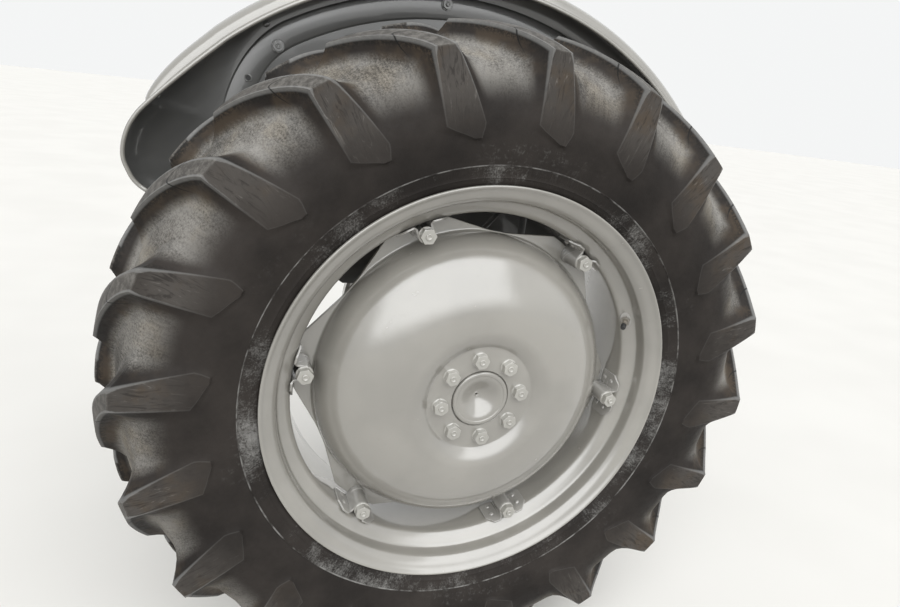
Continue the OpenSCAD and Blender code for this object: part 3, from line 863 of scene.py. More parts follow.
@dataclass
class Disc:
    """The pressed disc: a flat hub seat, a dome round it and a plate with six lobes."""

    thickness: float = 7.0
    bore_r: float = 54.0
    seat_r: float = 100.0
    crest_r: float = 136.0
    crest_y: float = -9.0
    lip_power: float = 0.9
    dome_r: float = 283.5
    corner: float = 0.8
    fillet: float = 4.5
    lobe_r: float = 317.0
    lobe_half: float = 9.0
    valley_half: float = 3.5
    valley_w: float = 1.6
    soft_from: float = 20.0
    soft_reach: int = 5

    def profile(self) -> Array:
        """Gives the dome's section: a seat, a lip that rises to the crest, then a quarter of an ellipse.

        The lip rises as the sine of 90 degrees times s to its power, with s from 0 to 1.
        """
        s = np.linspace(0.0, 1.0, 17)[1:]
        rise = np.stack([self.seat_r + (self.crest_r - self.seat_r) * s,
                         HUB_Y + (self.crest_y - HUB_Y) * np.sin(np.pi / 2 * s**self.lip_power)], 1)
        turn = np.radians(np.linspace(3, 87.6, 34))
        fall = np.stack([self.crest_r + (self.dome_r - self.crest_r) * np.sin(turn),
                         self.crest_y + (PLATE_Y - 1 - self.crest_y) * (1 - np.cos(turn))], 1)
        seat = np.array([
            [self.bore_r, HUB_Y + self.corner], [self.bore_r + self.corner, HUB_Y], [self.bore_r + 18, HUB_Y],
            [self.seat_r - 5, HUB_Y], [self.seat_r - self.corner, HUB_Y], [self.seat_r + 0.2, HUB_Y - 0.3]])
        return np.vstack([seat, rise, fall])

    def outline(self, angle: Array) -> Array:
        """Gives the plate's radius at an angle: round lobes joined by straight sides to a rounded valley.

        A straight side through two points has the radius d / cos(a - a0) in polar form.
        """
        half_step = 180.0 / LUG_COUNT
        off = np.abs((angle - FIRST_LUG + half_step) % (2 * half_step) - half_step)
        valley = half_step - self.valley_half
        low = self.dome_r + self.valley_w
        p = np.array(polar(self.lobe_r, self.lobe_half))
        along = np.array(polar(low, valley)) - p
        x, z = polar(1.0, off)
        side = (p[0] * along[1] - p[1] * along[0]) / (x * along[1] - z * along[0])
        line = np.where(off <= self.lobe_half, self.lobe_r, np.where(off >= valley, low, side))
        reach = range(-self.soft_reach, self.soft_reach + 1)
        soft = sum(np.roll(line, k) for k in reach) / len(reach)
        return np.where(off > self.soft_from, soft, line)

    def build(self, finishes: Finishes) -> None:
        """Makes the front and the back as one closed skin, with a fillet where the dome meets the plate."""
        angles = full_turn(720, FIRST_LUG)
        front = self.profile()
        rim = self.outline(angles)[:, None]
        fillet = np.minimum(self.fillet, 0.6 * (rim - self.dome_r))
        turn = np.radians(np.linspace(0, 90, 6))
        start = self.dome_r + fillet
        plate_r = start + (rim - self.corner - start) * np.array([0.3, 0.7, 1.0])
        radius = np.concatenate([self.dome_r + fillet * (1 - np.cos(turn)), plate_r, rim], 1)
        level = np.concatenate([PLATE_Y - fillet * (1 - np.sin(turn)), PLATE_Y + 0 * plate_r,
                                PLATE_Y + self.corner + 0 * rim], 1)
        x, z = polar(radius, angles[:, None])
        plate = np.stack([x, level, z], -1)
        back_y = PLATE_Y + self.thickness
        x, z = polar(np.concatenate([rim, rim - self.corner, start - 2.0], 1), angles[:, None])
        under = np.stack([x, np.broadcast_to(back_y - np.array([self.corner, 0, 0]), x.shape), z], -1)
        back = inward(front, self.thickness)[::-1]
        back = back[(back[:, 0] < self.dome_r - 3) & (back[:, 1] < back_y - 1)]
        skin = np.concatenate([revolve(front, angles), plate, under, revolve(back, angles)], 1)
        shell = Shell().grid(skin, around=True, along=True)
        piece = shell.build("wheel_disc_pressing", [finishes.enamel], 30.0)
        place(piece, Body.WHEEL, Slot.ENAMEL, "wheel_disc")


@dataclass
class Nut:
    """A hexagon nut with lightly turned corners, on the end of a stud."""

    across: float = 24.7
    height: float = 12.0
    stud_r: float = 5.8
    stud_out: float = 1.5
    turn: float = 0.0
    turned_share: float = 1.03
    corner_slope: float = 0.577

    def rings(self) -> Array:
        """Gives the nut about the axis of y, its front at 0 and its foot at its height.

        The radius at an angle is half the width across flats over cos of the angle from the flat's middle.
        Beyond the turned circle the corners drop by the slope times the distance outwards.
        """
        angles = full_turn(96, self.turn)
        off = np.radians((angles - self.turn) % 60 - 30)
        hexagon = self.across / 2 / np.cos(off)
        turned_r = self.across / 2 * self.turned_share
        face = hexagon - 0.45
        fall = self.corner_slope * np.clip(face - turned_r, 0, None)
        rows = [self.stud_r - 0.1 + 0 * face, np.minimum(face, turned_r - 0.8), face, hexagon - 0.1,
                hexagon, hexagon]
        drop = [0.1 + 0 * face, 0 * face, fall, fall + 0.25, fall + 0.6, self.height + 0 * face]
        radius, level = np.stack(rows, 1), np.stack(drop, 1)
        x, z = polar(radius, angles[:, None])
        return np.stack([x, level, z], -1)

    def stud(self) -> Array:
        """Gives the stud's end with a dimple in its middle."""
        out, r = self.stud_out, self.stud_r
        profile = np.array([
            [0.0, 1.1 - out], [0.35 * r, 1.0 - out], [0.55 * r, 0.3 - out], [0.62 * r, -out],
            [0.86 * r, -out], [0.96 * r, 0.35 - out], [r, 0.8 - out], [r, 0.5], [r + 0.5, 1.4]])
        return revolve(profile, full_turn(36))

    def add_to(self, shell: Shell, move: Callable[[Array], Array]) -> None:
        """Adds nut and stud to a shell where move() puts them."""
        for shape in (self.rings(), self.stud()):
            shell.grid(move(shape), around=True)


@dataclass
class HubNuts:
    """Eight nuts on the studs of the hub, each with a fillet of paint at its foot."""

    pcd: float = 152.4
    first: float = 97.15
    height: float = 12.0
    foot: Pairs = ((12.0, 10.4), (12.9, 11.2), (14.2, 11.8), (15.0, 12.05))
    turns: tuple[float, ...] = (8, 31, 17, 44, 3, 22, 38, 12)

    def build(self, finishes: Finishes) -> None:
        """Makes one piece for each nut."""
        foot = revolve(np.array(self.foot), full_turn(48))
        for i, turn in enumerate(self.turns):
            x, z = polar(self.pcd / 2, self.first - 360 / len(self.turns) * i)
            shift = np.array([x, HUB_Y - self.height, z])
            shell = Shell()
            Nut(height=self.height, turn=turn).add_to(shell, lambda p, shift=shift: p + shift)
            shell.grid(foot + shift, around=True)
            piece = shell.build(f"hub_nut_{i + 1}_turned", [finishes.small], 24.0)
            place(piece, Body.WHEEL, Slot.ENAMEL, f"hub_nut_{i + 1}")


@dataclass
class RimLugs:
    """Six straps bent round the lug bolts and riveted to the rim's well, with their nuts and washers."""

    strap: float = 3.8
    tube_r: float = 15.0
    foot_half: float = 46.0
    foot_front: float = 47.8
    foot_lift: float = 4.0
    bend_y: float = 66.0
    rivet_r: float = 5.4
    rivet_h: float = 3.0
    rivet_y: tuple[float, float] = (69.0, 92.0)
    rivet_angle: float = 5.2
    nut_h: float = 12.0
    head_h: float = 9.0
    washer_h: float = 3.0
    collar_y: float = 96.0
    turns: tuple[float, ...] = (12, 40, 25, 5, 33, 18)

    def line(self) -> Array:
        """Gives half the strap's middle line in the wheel's plane, from over the bolt to the end of a foot.

        It is an arc about the bolt, a straight side and an arc that hugs the well.
        """
        r = self.tube_r - self.strap / 2
        arc = np.radians(np.linspace(180, 90, 15))
        top = np.stack([LUG_BOLT_R + r * np.cos(arc), r * np.sin(arc)], 1)
        foot_r = WELL_R - self.strap / 2 - 0.2
        side = np.array([[LUG_BOLT_R + 6, r], [foot_r - 3.2, r + 0.1], [foot_r - 1.2, r + 0.8]])
        middle = np.linspace(r + 8, self.foot_half - 3, 8)
        wide = np.concatenate([[r + 2.4, r + 5], middle, [self.foot_half - 1, self.foot_half]])
        foot = np.stack([np.sqrt(foot_r**2 - wide**2), wide], 1)
        return np.vstack([top, side, foot])

    def strap_grid(self) -> Array:
        """Works out the strap's middle surface: the line carried back, its feet's fronts bent over the slope.

        In front of the bend a foot moves away from the axle by its lift times the square of the share of the
        way from the bend to the foot's front.
        """
        half = self.line()
        line = np.vstack([(half * np.array([1, -1]))[:0:-1], half])
        reach = np.abs(line[:, 1])
        on_foot = np.clip((reach - 14.0) / 4.0, 0, 1)
        tip = self.foot_front + np.clip(reach - 31, 0, None)
        front = TUBE_Y * (1 - on_foot) + tip * on_foot
        rear = PLATE_Y - 0.2 - np.clip(reach - 40, 0, None)
        share = np.array([0.0, 0.03, 0.07, 0.12, 0.18, 0.25, 0.33, 0.45, 0.65, 0.85, 1.0])
        y = front[:, None] + (rear - front)[:, None] * share
        ahead = np.clip(self.bend_y - y, 0, None) / (self.bend_y - self.foot_front)
        lift = on_foot[:, None] * self.foot_lift * ahead**2
        size = np.hypot(line[:, 0], line[:, 1])[:, None]
        grow = (size + lift) / size
        return np.stack([line[:, :1] * grow, y, line[:, 1:] * grow], -1)

    def bolt_shell(self, angle: float, turn: float) -> Shell:
        """Makes a bolt in place: nut, washer and stud's end in front, head behind the plate."""
        front = TUBE_Y - self.washer_h - self.nut_h

        def move(p: Array) -> Array:
            """Moves a shape about y to the bolt."""
            return turned(p + np.array([LUG_BOLT_R, front, 0.0]), angle)

        shell = Shell()
        Nut(height=self.nut_h, stud_out=2.7, turn=turn).add_to(shell, move)
        low, high = self.nut_h - 0.1, self.nut_h + self.washer_h
        washer = np.array([[6.0, low], [13.9, low], [14.8, low + 0.7], [14.8, high - 0.4], [14.2, high],
                           [6.0, high]])
        shell.grid(move(revolve(washer, full_turn(48))), around=True)
        shank = np.array([[7.0, high - 1], [7.0, PLATE_Y - front + 8.0]])
        shell.grid(move(revolve(shank, full_turn(24))), around=True)
        mirror = np.array([1.0, -1.0, 1.0])
        back = Nut(height=self.head_h, turn=turn + 9)
        behind = np.array([0.0, PLATE_Y - front + 7.0 + self.head_h, 0.0])
        for shape in (back.rings(), back.stud()):
            shell.grid(move(shape * mirror + behind), around=True, flip=True)
        return shell

    def one(self, index: int, finishes: Finishes) -> None:
        """Makes one strap with its rivets and collar, and one bolt with its nut."""
        angle = FIRST_LUG - 360 / LUG_COUNT * index
        shell = Shell().grid(turned(self.strap_grid(), angle))
        strap = shell.build(f"rim_lug_{index + 1}_strap", [finishes.lug], 40.0)
        wall = strap.modifiers.new("wall", "SOLIDIFY")
        wall.thickness, wall.offset = self.strap * MM, 0.0
        edge = strap.modifiers.new("edge", "BEVEL")
        edge.width, edge.segments = 0.8 * MM, 2
        edge.limit_method, edge.angle_limit = "ANGLE", math.radians(50)
        place(strap, Body.WHEEL, Slot.ENAMEL, f"rim_lug_{index + 1}")
        heads = Shell()
        out = np.linspace(0, 1, 7)[None]
        u, v = polar(out * self.rivet_r, full_turn(24)[:, None])
        up = np.broadcast_to((1 - out**2.6) * self.rivet_h, u.shape)
        for side in (-1, 1):
            for y in self.rivet_y:
                head = np.stack([WELL_R - self.strap + 0.1 - up, y + u, v], -1)
                heads.grid(turned(head, angle + side * self.rivet_angle), around=True, flip=True)
        bead = np.radians(np.linspace(-90, 90, 9))
        ring = np.stack([self.tube_r - 0.6 + 1.5 * np.cos(bead), self.collar_y + 2.6 * np.sin(bead)], 1)
        collar = revolve(ring, np.linspace(78, 282, 31)) + np.array([LUG_BOLT_R, 0.0, 0.0])
        heads.grid(turned(collar, angle))
        rivets = heads.build(f"rim_lug_{index + 1}_rivets", [finishes.lug], 60.0)
        place(rivets, Body.WHEEL, Slot.ENAMEL)
        bolt = self.bolt_shell(angle, self.turns[index])
        piece = bolt.build(f"lug_bolt_{index + 1}_turned", [finishes.small], 24.0)
        place(piece, Body.WHEEL, Slot.ENAMEL, f"lug_bolt_{index + 1}")

    def build(self, finishes: Finishes) -> None:
        """Makes all six."""
        for index in range(LUG_COUNT):
            self.one(index, finishes)


@dataclass
class HalfShaft:
    """The shaft with its dished boss in the disc, its flange and its driven end."""

    boss_r: float = 52.6
    boss_y: float = 3.0
    dish_r: float = 45.0
    shallow: float = 3.6
    deep: float = 17.0
    deep_r: float = 41.0
    flange_r: float = 98.0
    journal_r: float = 30.0
    body_r: float = 24.5
    drive_r: float = 22.0

    def profile(self) -> Array:
        """Gives the section from the middle of the boss's face to the middle of the driven end.

        The dish adds a shallow bowl, (1 - (r / R) ** 2) of its depth, and a steep one in its middle,
        (1 - (r / R) ** 2) ** 2 of its own depth.
        """
        deep = self.boss_y + 1.1 + self.shallow + self.deep
        centre = [(0.0, deep + 5.0), (1.8, deep + 4.6), (2.3, deep - 0.2), (3.4, deep - 1.0)]
        r = np.linspace(4.2, self.dish_r - 0.6, 34)
        level = self.boss_y + 1.1 + self.shallow * (1 - (r / self.dish_r) ** 2)
        level += self.deep * np.clip(1 - (r / self.deep_r) ** 2, 0, None) ** 2
        y = self.boss_y
        rim = [(self.dish_r, y + 0.9), (self.dish_r + 0.5, y + 0.2), (self.dish_r + 1.6, y - 0.1),
               (48.5, y - 0.35), (50.2, y - 0.1), (51.6, y + 0.7), (self.boss_r - 0.2, y + 1.9)]
        side = [(self.boss_r, y + 3.0), (self.boss_r, 12.9), (self.flange_r - 1, 13.1), (self.flange_r, 14),
                (self.flange_r, 28)]
        neck = [(self.flange_r - 1, 28.9), (38, 29), (34, 33), (34, 50), (self.journal_r, 51)]
        shaft = [(self.journal_r, 149), (self.body_r, 151), (self.body_r, 565), (self.drive_r, 566.5)]
        end = [(self.drive_r, 626), (self.drive_r - 3, 629), (4, 629), (1.0, 626.5), (0.0, 626)]
        return np.array(centre + list(zip(r, level)) + rim + side + neck + shaft + end)

    def build(self, finishes: Finishes) -> None:
        """Carries the section round the axle."""
        shell = Shell().grid(revolve(self.profile(), full_turn(144)), around=True)
        piece = shell.build("half_shaft_turned", [finishes.enamel], 32.0)
        place(piece, Body.WHEEL, Slot.ENAMEL, "half_shaft")


@dataclass
class Valve:
    """The inner tube's valve in the rim's slope, with its nut, stem and cap."""

    angle: float = 22.5
    base: tuple[float, float] = (335.6, 50.6)
    slope: float = 32.4
    lean: float = 44.0
    pad: Pairs = ((8.0, -2.3), (15.4, -2.2), (17.0, -1.6), (17.4, 0.4))
    pad_share: float = 0.62
    stem: Pairs = ((4.7, -2.0), (4.7, -13.0), (4.1, -13.6), (4.1, -20.0), (3.6, -20.4), (3.6, -24.0))
    cap: Pairs = (
        (0.0, -31.0), (2.6, -31.0), (4.2, -30.6), (5.0, -29.4), (5.0, -19.5), (4.6, -19.0), (3.4, -19.0))
    knurl: float = 0.35

    def build(self, finishes: Finishes) -> None:
        """Makes the pad on the slope, then the leaning nut, stem and ribbed cap."""

        def lean(p: Array, angle: float) -> Array:
            """Puts a shape about y, its front towards -y, on the slope at an angle from the axle."""
            a = math.radians(angle)
            x = self.base[0] + p[..., 1] * math.sin(a) + p[..., 0] * math.cos(a)
            y = self.base[1] + p[..., 1] * math.cos(a) - p[..., 0] * math.sin(a)
            return turned(np.stack([x, y, p[..., 2]], -1), self.angle)

        shell = Shell()
        pad = revolve(np.array(self.pad), full_turn(48)) * np.array([self.pad_share, 1.0, 1.0])
        shell.grid(lean(pad, self.slope), around=True, slot=3)
        nut = Nut(across=17.0, height=6.5, stud_r=4.6, stud_out=0.3, turn=10).rings()
        shell.grid(lean(nut - np.array([0, 8.6, 0]), self.lean), around=True, slot=0)
        stem = revolve(np.array(self.stem), full_turn(32))
        shell.grid(lean(stem, self.lean), around=True, flip=True, slot=1)
        ribs = np.where(np.arange(48) % 2 == 0, 0.0, self.knurl)[:, None]
        out, level = np.array(self.cap).T
        x, z = polar(out - ribs * (out > 4.5), full_turn(48)[:, None])
        cap = np.stack([x, np.broadcast_to(level, x.shape), z], -1)
        shell.grid(lean(cap, self.lean), around=True, slot=2)
        slots = [finishes.grimed, finishes.brass, finishes.cap, finishes.lug]
        piece = shell.build("valve_and_cap", slots, 30.0)
        place(piece, Body.WHEEL, Slot.VALVE, "valve_stem")


@dataclass
class Mudguard:
    """The mudguard: a rolled edge, a crown, a bowl where it ends over the front, and a ribbed side plate."""

    edge_r: float = 694.0
    edge_y: float = 229.0
    plate_y: float = 306.8
    crown: float = 27.5
    crown_end: float = 141.0
    crown_fade: float = 9.0
    sheet: float = 2.4
    roll: float = 3.6
    rear_angle: float = 25.0
    rear_x: float = 640.0
    rear_z: float = 200.0
    rear_r: float = 43.0
    rear_end: float = 19.3
    line_in: float = 16.0
    line_start: float = 119.0
    line_drop: float = 61.0
    bowl_angle: float = 133.8
    band_h: float = 3.0
    band_end: float = 136.0
    front: tuple[tuple[float, float, float], ...] = (
        (-440, 300.5, 264), (-455, 297, 268), (-485, 289, 279), (-508, 275, 287), (-520, 263, 291.5),
        (-532, 242, 296), (-543, 229.5, 300.5), (-556.5, 229, 309.6), (-566.8, 229, 321.3),
        (-574.2, 229, 337), (-578.6, 229, 350), (-579.6, 229, 363.1), (-577.5, 229, 379), (-572.8, 229, 395),
        (-566.3, 229, 409.4), (-555.8, 229, 425.5), (-543.3, 229, 439.6), (-517.7, 229, 465.2),
        (-475, 229, 505), (-432, 229, 542.5))
    bowl: Pairs = ((-432, 268), (-448, 300), (-454, 340), (-449, 385), (-427.5, 446))
    ribs: tuple[tuple[float, ...], ...] = (
        (124, 286, 70, 222, 2.5, 2.2), (137, 286, 83, 222, 2.5, 2.2), (187, 300, 187, 205, 9.0, 5.0))
    bolts: Pairs = ((-337, 553), (-37, 663), (250, 610))
    rivet: tuple[float, float] = (-357, 586)
    dome: Pairs = ((0.0, -3.0), (2.6, -2.6), (4.6, -1.4), (5.6, 0.3))
    hole: tuple[float, float] = (-386, 495)
    grommet: Pairs = ((4.2, 0.5), (4.4, -0.8), (5.4, -1.4), (6.6, -0.8), (7.0, 0.3))
    washer: Pairs = ((5.0, -0.2), (10.5, -0.2), (11.2, 0.4), (11.2, 2.0))

    def band_line(self, angle: Array) -> Array:
        """Gives the radius where the crown meets the side plate, which draws in over the front.

        It drops by the line's drop times the share of the way to the bowl's angle to the power of 1.75.
        """
        share = np.clip(angle - self.line_start, 0, None) / (self.bowl_angle - self.line_start)
        return self.edge_r - self.line_in - self.line_drop * share**1.75

    def near_edge(self) -> Array:
        """Gives the outer edge from the lower front, over the top, to the rear end."""
        front = smooth_path(self.front, 4)
        start = math.degrees(math.atan2(self.front[-1][2], self.front[-1][0]))
        x, z = polar(self.edge_r, np.linspace(start, self.rear_angle, 150)[1:])
        arc = np.stack([x, np.full_like(x, self.edge_y), z], 1)
        return np.vstack([front, arc])

    def plate_edge(self, edge: Array) -> Array:
        """Gives the side plate's edge beside each point of the outer edge, as x and z."""
        angle = np.degrees(np.arctan2(edge[:, 2], edge[:, 0]))
        along = np.stack(polar(self.band_line(np.minimum(angle, self.bowl_angle)), angle), 1)
        ahead = int((angle > self.bowl_angle).sum())
        bowl = smooth_path(self.bowl, 12)
        share = np.linspace(0, len(bowl) - 1, ahead + 1)[:-1]
        for i in range(2):
            along[:ahead, i] = np.interp(share, np.arange(len(bowl)), bowl[:, i])
        return along

    def sheet_grid(self) -> tuple[Array, Array, Array]:
        """Works out the crown and the bowl between the outer edge and the side plate.

        With a from 0 to 180 degrees the depth is d = (1 - cos a) / 2 of the way back, the crown swells
        outwards by its height times sin(a) ** 0.85, and the sheet draws in by 1 - sqrt(1 - d ** 2) of the way
        to the plate's edge. The height fades as a quarter of an ellipse towards the crown's end.

        Returns:
            The grid, the outer edge and the plate's edge.
        """
        edge = self.near_edge()
        plate = self.plate_edge(edge)
        angle = np.degrees(np.arctan2(edge[:, 2], edge[:, 0]))
        size = np.hypot(edge[:, 0], edge[:, 2])
        fade = np.clip((angle - (self.crown_end - self.crown_fade)) / self.crown_fade, 0, 1)
        height = self.crown * np.sqrt(1 - fade**2)
        a = np.radians(np.linspace(0, 180, 23))
        depth = (1 - np.cos(a)) / 2
        swell = height[:, None] * np.sin(a) ** 0.85
        draw = 1 - np.sqrt(1 - depth**2)
        x = edge[:, :1] * (1 + swell / size[:, None]) + (plate[:, :1] - edge[:, :1]) * draw
        z = edge[:, 2:] * (1 + swell / size[:, None]) + (plate[:, 1:] - edge[:, 2:]) * draw
        y = edge[:, 1:2] + (self.plate_y - edge[:, 1:2]) * depth
        return np.stack([x, y, z], -1), edge, plate

    def plate_grid(self, plate: Array) -> Array:
        """Spans the side plate from its edge to its lower border."""
        turn = np.linspace(self.rear_angle, self.rear_end, 5)[1:]
        rear = np.stack(polar(self.edge_r - self.line_in, turn), 1)
        a = np.radians(np.linspace(0, -90, 9))
        corner = np.array([self.rear_x - self.rear_r, self.rear_z + self.rear_r])
        bend = corner + self.rear_r * np.stack([np.cos(a), np.sin(a)], 1)
        top = np.vstack([plate, rear, bend])
        low = np.array([[-425, 262], [-200, 120], [200, 120], [400, 200], [corner[0] - 4, self.rear_z]])
        length = np.concatenate([[0], np.cumsum(np.linalg.norm(np.diff(low, axis=0), axis=1))])
        share = np.linspace(0, length[-1], len(top))
        foot = np.stack([np.interp(share, length, low[:, i]) for i in range(2)], 1)
        steps = np.linspace(0, 1, 10)
        flat = top[:, None] * (1 - steps[None, :, None]) + foot[:, None] * steps[None, :, None]
        return np.stack([flat[..., 0], np.full(flat.shape[:2], self.plate_y), flat[..., 1]], -1)

    def band(self) -> Array:
        """Gives the raised band on the plate: two curved lines with a flat between them."""
        angle = np.linspace(40, 140, 161)
        far = np.abs(angle - 90) + 90
        far = np.minimum(far, self.band_end)
        outer = self.band_line(far)
        inside = self.edge_r - 56 - 31 * (np.clip(far - 118, 0, None) / 9.9) ** 2.3
        inside = np.minimum(inside, outer - 3)
        face = self.plate_y - self.sheet / 2
        radius = np.stack([outer + 2.0, outer - 0.4, outer - 2.6,
                           inside + 2.6, inside + 0.4, inside - 2.0], 1)
        high, edge = face - self.band_h, face - self.band_h + 0.8
        level = np.array([face + 0.6, edge, high, high, edge, face + 0.6])
        x, z = polar(radius, angle[:, None])
        return np.stack([x, np.broadcast_to(level, x.shape), z], -1)

    def rib(self, x0: float, z0: float, x1: float, z1: float, half: float, height: float) -> Array:
        """Gives a rounded rib along a line of the plate.

        It rises by height times cos(90 degrees * t), with t from -1 to 1 across it.

        Args:
            x0, z0: where it starts.
            x1, z1: where it ends.
            half: half its width.
            height: its height.

        Returns:
            A grid of points.
        """
        p = np.linspace((x0, z0), (x1, z1), 12)
        along = (p[-1] - p[0]) / np.linalg.norm(p[-1] - p[0])
        t = np.linspace(-1, 1, 9)
        side = np.array([-along[1], along[0]])
        taper = np.sqrt(np.clip(np.sin(np.linspace(0, np.pi, 12)) * 3, 0.02, 1))
        flat = p[:, None] + side * (half * t)[None, :, None]
        lift = height * taper[:, None] * np.cos(np.pi / 2 * t)[None, :]
        return np.stack([flat[..., 0], self.plate_y - self.sheet / 2 + 0.2 - lift, flat[..., 1]], -1)

    def fastenings(self, finishes: Finishes) -> bpy.types.Object:
        """Makes the bolts with their nuts, the small rivet and the grommet, with a black disc that paints the
        shade of its hole.
        """
        shell = Shell()
        face = self.plate_y - self.sheet / 2 - self.band_h
        washer = revolve(np.array(self.washer), full_turn(36))
        for i, (x, z) in enumerate(self.bolts):
            front = np.array([x, face - 7.0, z])
            shell.grid(washer + np.array([x, face - 1.6, z]), around=True)
            nut = Nut(across=17, height=6, stud_r=4.5, stud_out=4.0, turn=20 * i + 10)
            nut.add_to(shell, lambda p, front=front: p + front)
            head = Nut(across=19, height=6, stud_r=3.0, turn=11 * i).rings() * np.array([1.0, -1.0, 1.0])
            shell.grid(head + np.array([x, self.plate_y + 7.0, z]), around=True, flip=True)
        # A flat black disc inside the grommet paints the shade of the hole.
        dark = ((0.0, -0.25), (4.5, -0.25))
        for (x, z), profile, sides, slot in ((self.rivet, self.dome, 24, 0), (self.hole, self.grommet, 32, 0),
                                             (self.hole, dark, 24, 1)):
            shape = revolve(np.array(profile), full_turn(sides))
            shell.grid(shape + np.array([x, face, z]), around=True, slot=slot)
        return shell.build("mudguard_bolts", [finishes.lining_nut_and_shade, finishes.cap], 24.0)

    def build(self, finishes: Finishes) -> None:
        """Makes the sheet, the rolled edge, the raised band with its ribs, and the fastenings. The sheet's
        inner faces and the band take a darker enamel that partly paints the shade there.
        """
        crown, edge, plate = self.sheet_grid()
        shell = Shell().grid(crown).grid(self.plate_grid(plate))
        sheet = shell.build("mudguard_sheet", [finishes.enamel, finishes.lining_and_shade], 40.0)
        wall = sheet.modifiers.new("sheet", "SOLIDIFY")
        # The inner faces take the second, darker finish, which partly paints in the shade under the crown.
        wall.thickness, wall.offset, wall.material_offset = self.sheet * MM, 0.0, 1
        wall.material_offset_rim = 0
        place(sheet, Body.AXLE, Slot.ENAMEL, "mudguard")
        roll = tube(edge, self.roll, 14)
        ring = Shell().grid(roll, along=True).cap(roll[0], flip=True).cap(roll[-1])
        place(ring.build("mudguard_rolled_edge", [finishes.enamel], 50.0), Body.AXLE, Slot.ENAMEL)
        strip = Shell().grid(self.band())
        for rib in self.ribs:
            strip.grid(self.rib(*rib))
        # The band takes the same darker finish and its painted shade.
        place(strip.build("mudguard_band", [finishes.lining_and_shade], 60.0), Body.AXLE, Slot.ENAMEL)
        place(self.fastenings(finishes), Body.AXLE, Slot.ENAMEL)


@dataclass
class AxleParts:
    """CAD nodes that keep their shape and only get a finish."""

    painted: tuple[str, ...] = ("backplate", "axle_housing", "mudguard_bracket")
    cast: tuple[str, ...] = ("brake_drum",)

    def dress(self, finishes: Finishes) -> None:
        """Puts the finishes into the nodes' material slots."""
        for names, finish in ((self.painted, finishes.enamel), (self.cast, finishes.iron)):
            for name in names:
                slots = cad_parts[name].data.materials
                slots.clear()
                slots.append(finish)
                log.info("%s: dressed", name)


# Stage


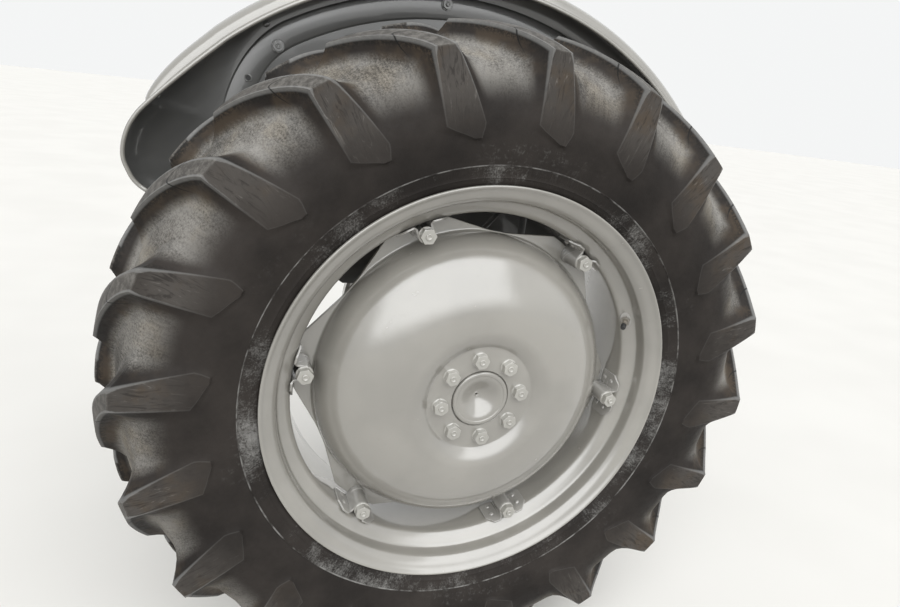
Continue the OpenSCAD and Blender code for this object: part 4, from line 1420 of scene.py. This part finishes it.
@dataclass
class Studio:
    """Floor, sky and camera, in metres in the row frame.

    The fields left, far_right and forwards each bound the panel along one number of a direction: where the
    change starts and ends, and the panel's share at both.
    """

    eye: tuple[float, float, float] = (-0.4365, -1.4643, 0.508)
    right: tuple[float, float, float] = (0.9378, -0.3293, 0.1101)
    ahead: tuple[float, float, float] = (0.3471, 0.8827, -0.3169)
    focal_px: float = 624.0
    frame_px: float = 900.0
    sensor: float = 36.0
    floor_z: float = -0.630
    floor_r: float = 40.0
    paper: tuple[Colour, Colour] = ((0.79, 0.775, 0.745), (0.82, 0.805, 0.775))
    paper_lit: Colour = (0.32, 0.30, 0.27)
    sky: Colour = (0.975, 0.985, 0.985)
    low: float = 0.22
    overhead: float = 0.60
    panel: float = 2.75
    shown: float = 0.93
    left: tuple[float, ...] = (-0.85, -0.62, 0.10, 1.0)
    far_right: tuple[float, ...] = (0.46, 0.60, 1.0, 0.12)
    forwards: tuple[float, ...] = (-0.32, -0.20, 1.0, 0.0)

    def camera(self) -> None:
        """Places the camera: its axes are right, up = right x ahead, and the way back."""
        ahead = Vector(self.ahead).normalized()
        right = Vector(self.right)
        right = (right - ahead * right.dot(ahead)).normalized()
        up = right.cross(ahead)
        data = bpy.data.cameras.new("camera")
        data.sensor_width = self.sensor
        data.lens = self.sensor * self.focal_px / self.frame_px
        data.clip_end = 200.0
        camera = bpy.data.objects.new("camera", data)
        turn = Matrix((right, up, -ahead)).transposed().to_4x4()
        camera.matrix_world = Matrix.Translation(Vector(self.eye)) @ turn
        bpy.context.scene.collection.objects.link(camera)
        bpy.context.scene.camera = camera

    def floor(self) -> None:
        """Lays a pale round floor, whose paper is darker to the light that it sends back to the pieces."""
        x, y = polar(np.linspace(0.0, self.floor_r, 5)[None], full_turn(96)[:, None])
        grid = np.stack([x, y, np.full_like(x, self.floor_z)], -1)
        shell = Shell().grid(grid / MM - np.array([0.0, RIM_EDGE_Y / MM, 0.0]), around=True)
        t = Tree("floor_paper")
        ray = t.nodes.new("ShaderNodeLightPath").outputs
        looked_at = t.plus(ray["Is Camera Ray"], ray["Is Glossy Ray"])
        seen = t.math("ADD", looked_at, ray["Is Transmission Ray"], clamp=True)
        fibres = t.mix(t.span(t.noise(1.5, 2.0), 0.3, 0.7), *self.paper)
        paper = t.dress(Base_Color=t.mix(seen, self.paper_lit, fibres), Roughness=0.9)
        shell.build("floor", [paper], 60.0)

    def light(self) -> None:
        """Lights the scene by a plain sky that is brightest in front and above.

        The brightness rises from the low level at the horizon to the overhead level at the top. The panel's
        level is added where the direction points forwards of the wheel, above the floor and not far aside.
        The picture and the reflections show a plain pale background, brighter at the panel.
        """
        world = bpy.data.worlds.new("plain_sky")
        bpy.context.scene.world = world
        world.use_nodes = True
        g = Graph(world.node_tree)
        x, y, z = g.split(g.nodes.new("ShaderNodeTexCoord").outputs["Generated"])
        aside = g.times(g.span(x, *self.left), g.span(x, *self.far_right))
        panel = g.times(g.span(y, *self.forwards), aside, g.span(z, 0.0, 0.30, 0.0, self.panel))
        level = g.plus(panel, g.span(z, 0.0, 1.0, self.low, self.overhead))
        ray = g.nodes.new("ShaderNodeLightPath").outputs
        mirrored = g.math("MAXIMUM", ray["Is Glossy Ray"], ray["Is Transmission Ray"])
        seen = g.math("MAXIMUM", ray["Is Camera Ray"], mirrored)
        back = g.nodes["Background"].inputs
        g.put(back[0], self.sky)
        g.put(back[1], g.span(seen, 0.0, 1.0, level, g.plus(panel, self.shown), smooth=False))

    def build(self) -> None:
        """Makes the stage."""
        bpy.context.scene.view_settings.view_transform = "Standard"
        self.camera()
        self.floor()
        self.light()


def main() -> None:
    """Builds the pieces in order."""
    logging.basicConfig(level=logging.INFO, format="%(message)s")
    Studio().build()
    finishes = Finishes()
    Tyre().build(finishes)
    Rim().build(finishes)
    Disc().build(finishes)
    RimLugs().build(finishes)
    HubNuts().build(finishes)
    HalfShaft().build(finishes)
    Valve().build(finishes)
    Mudguard().build(finishes)
    AxleParts().dress(finishes)


if __name__ == "__main__":
    main()
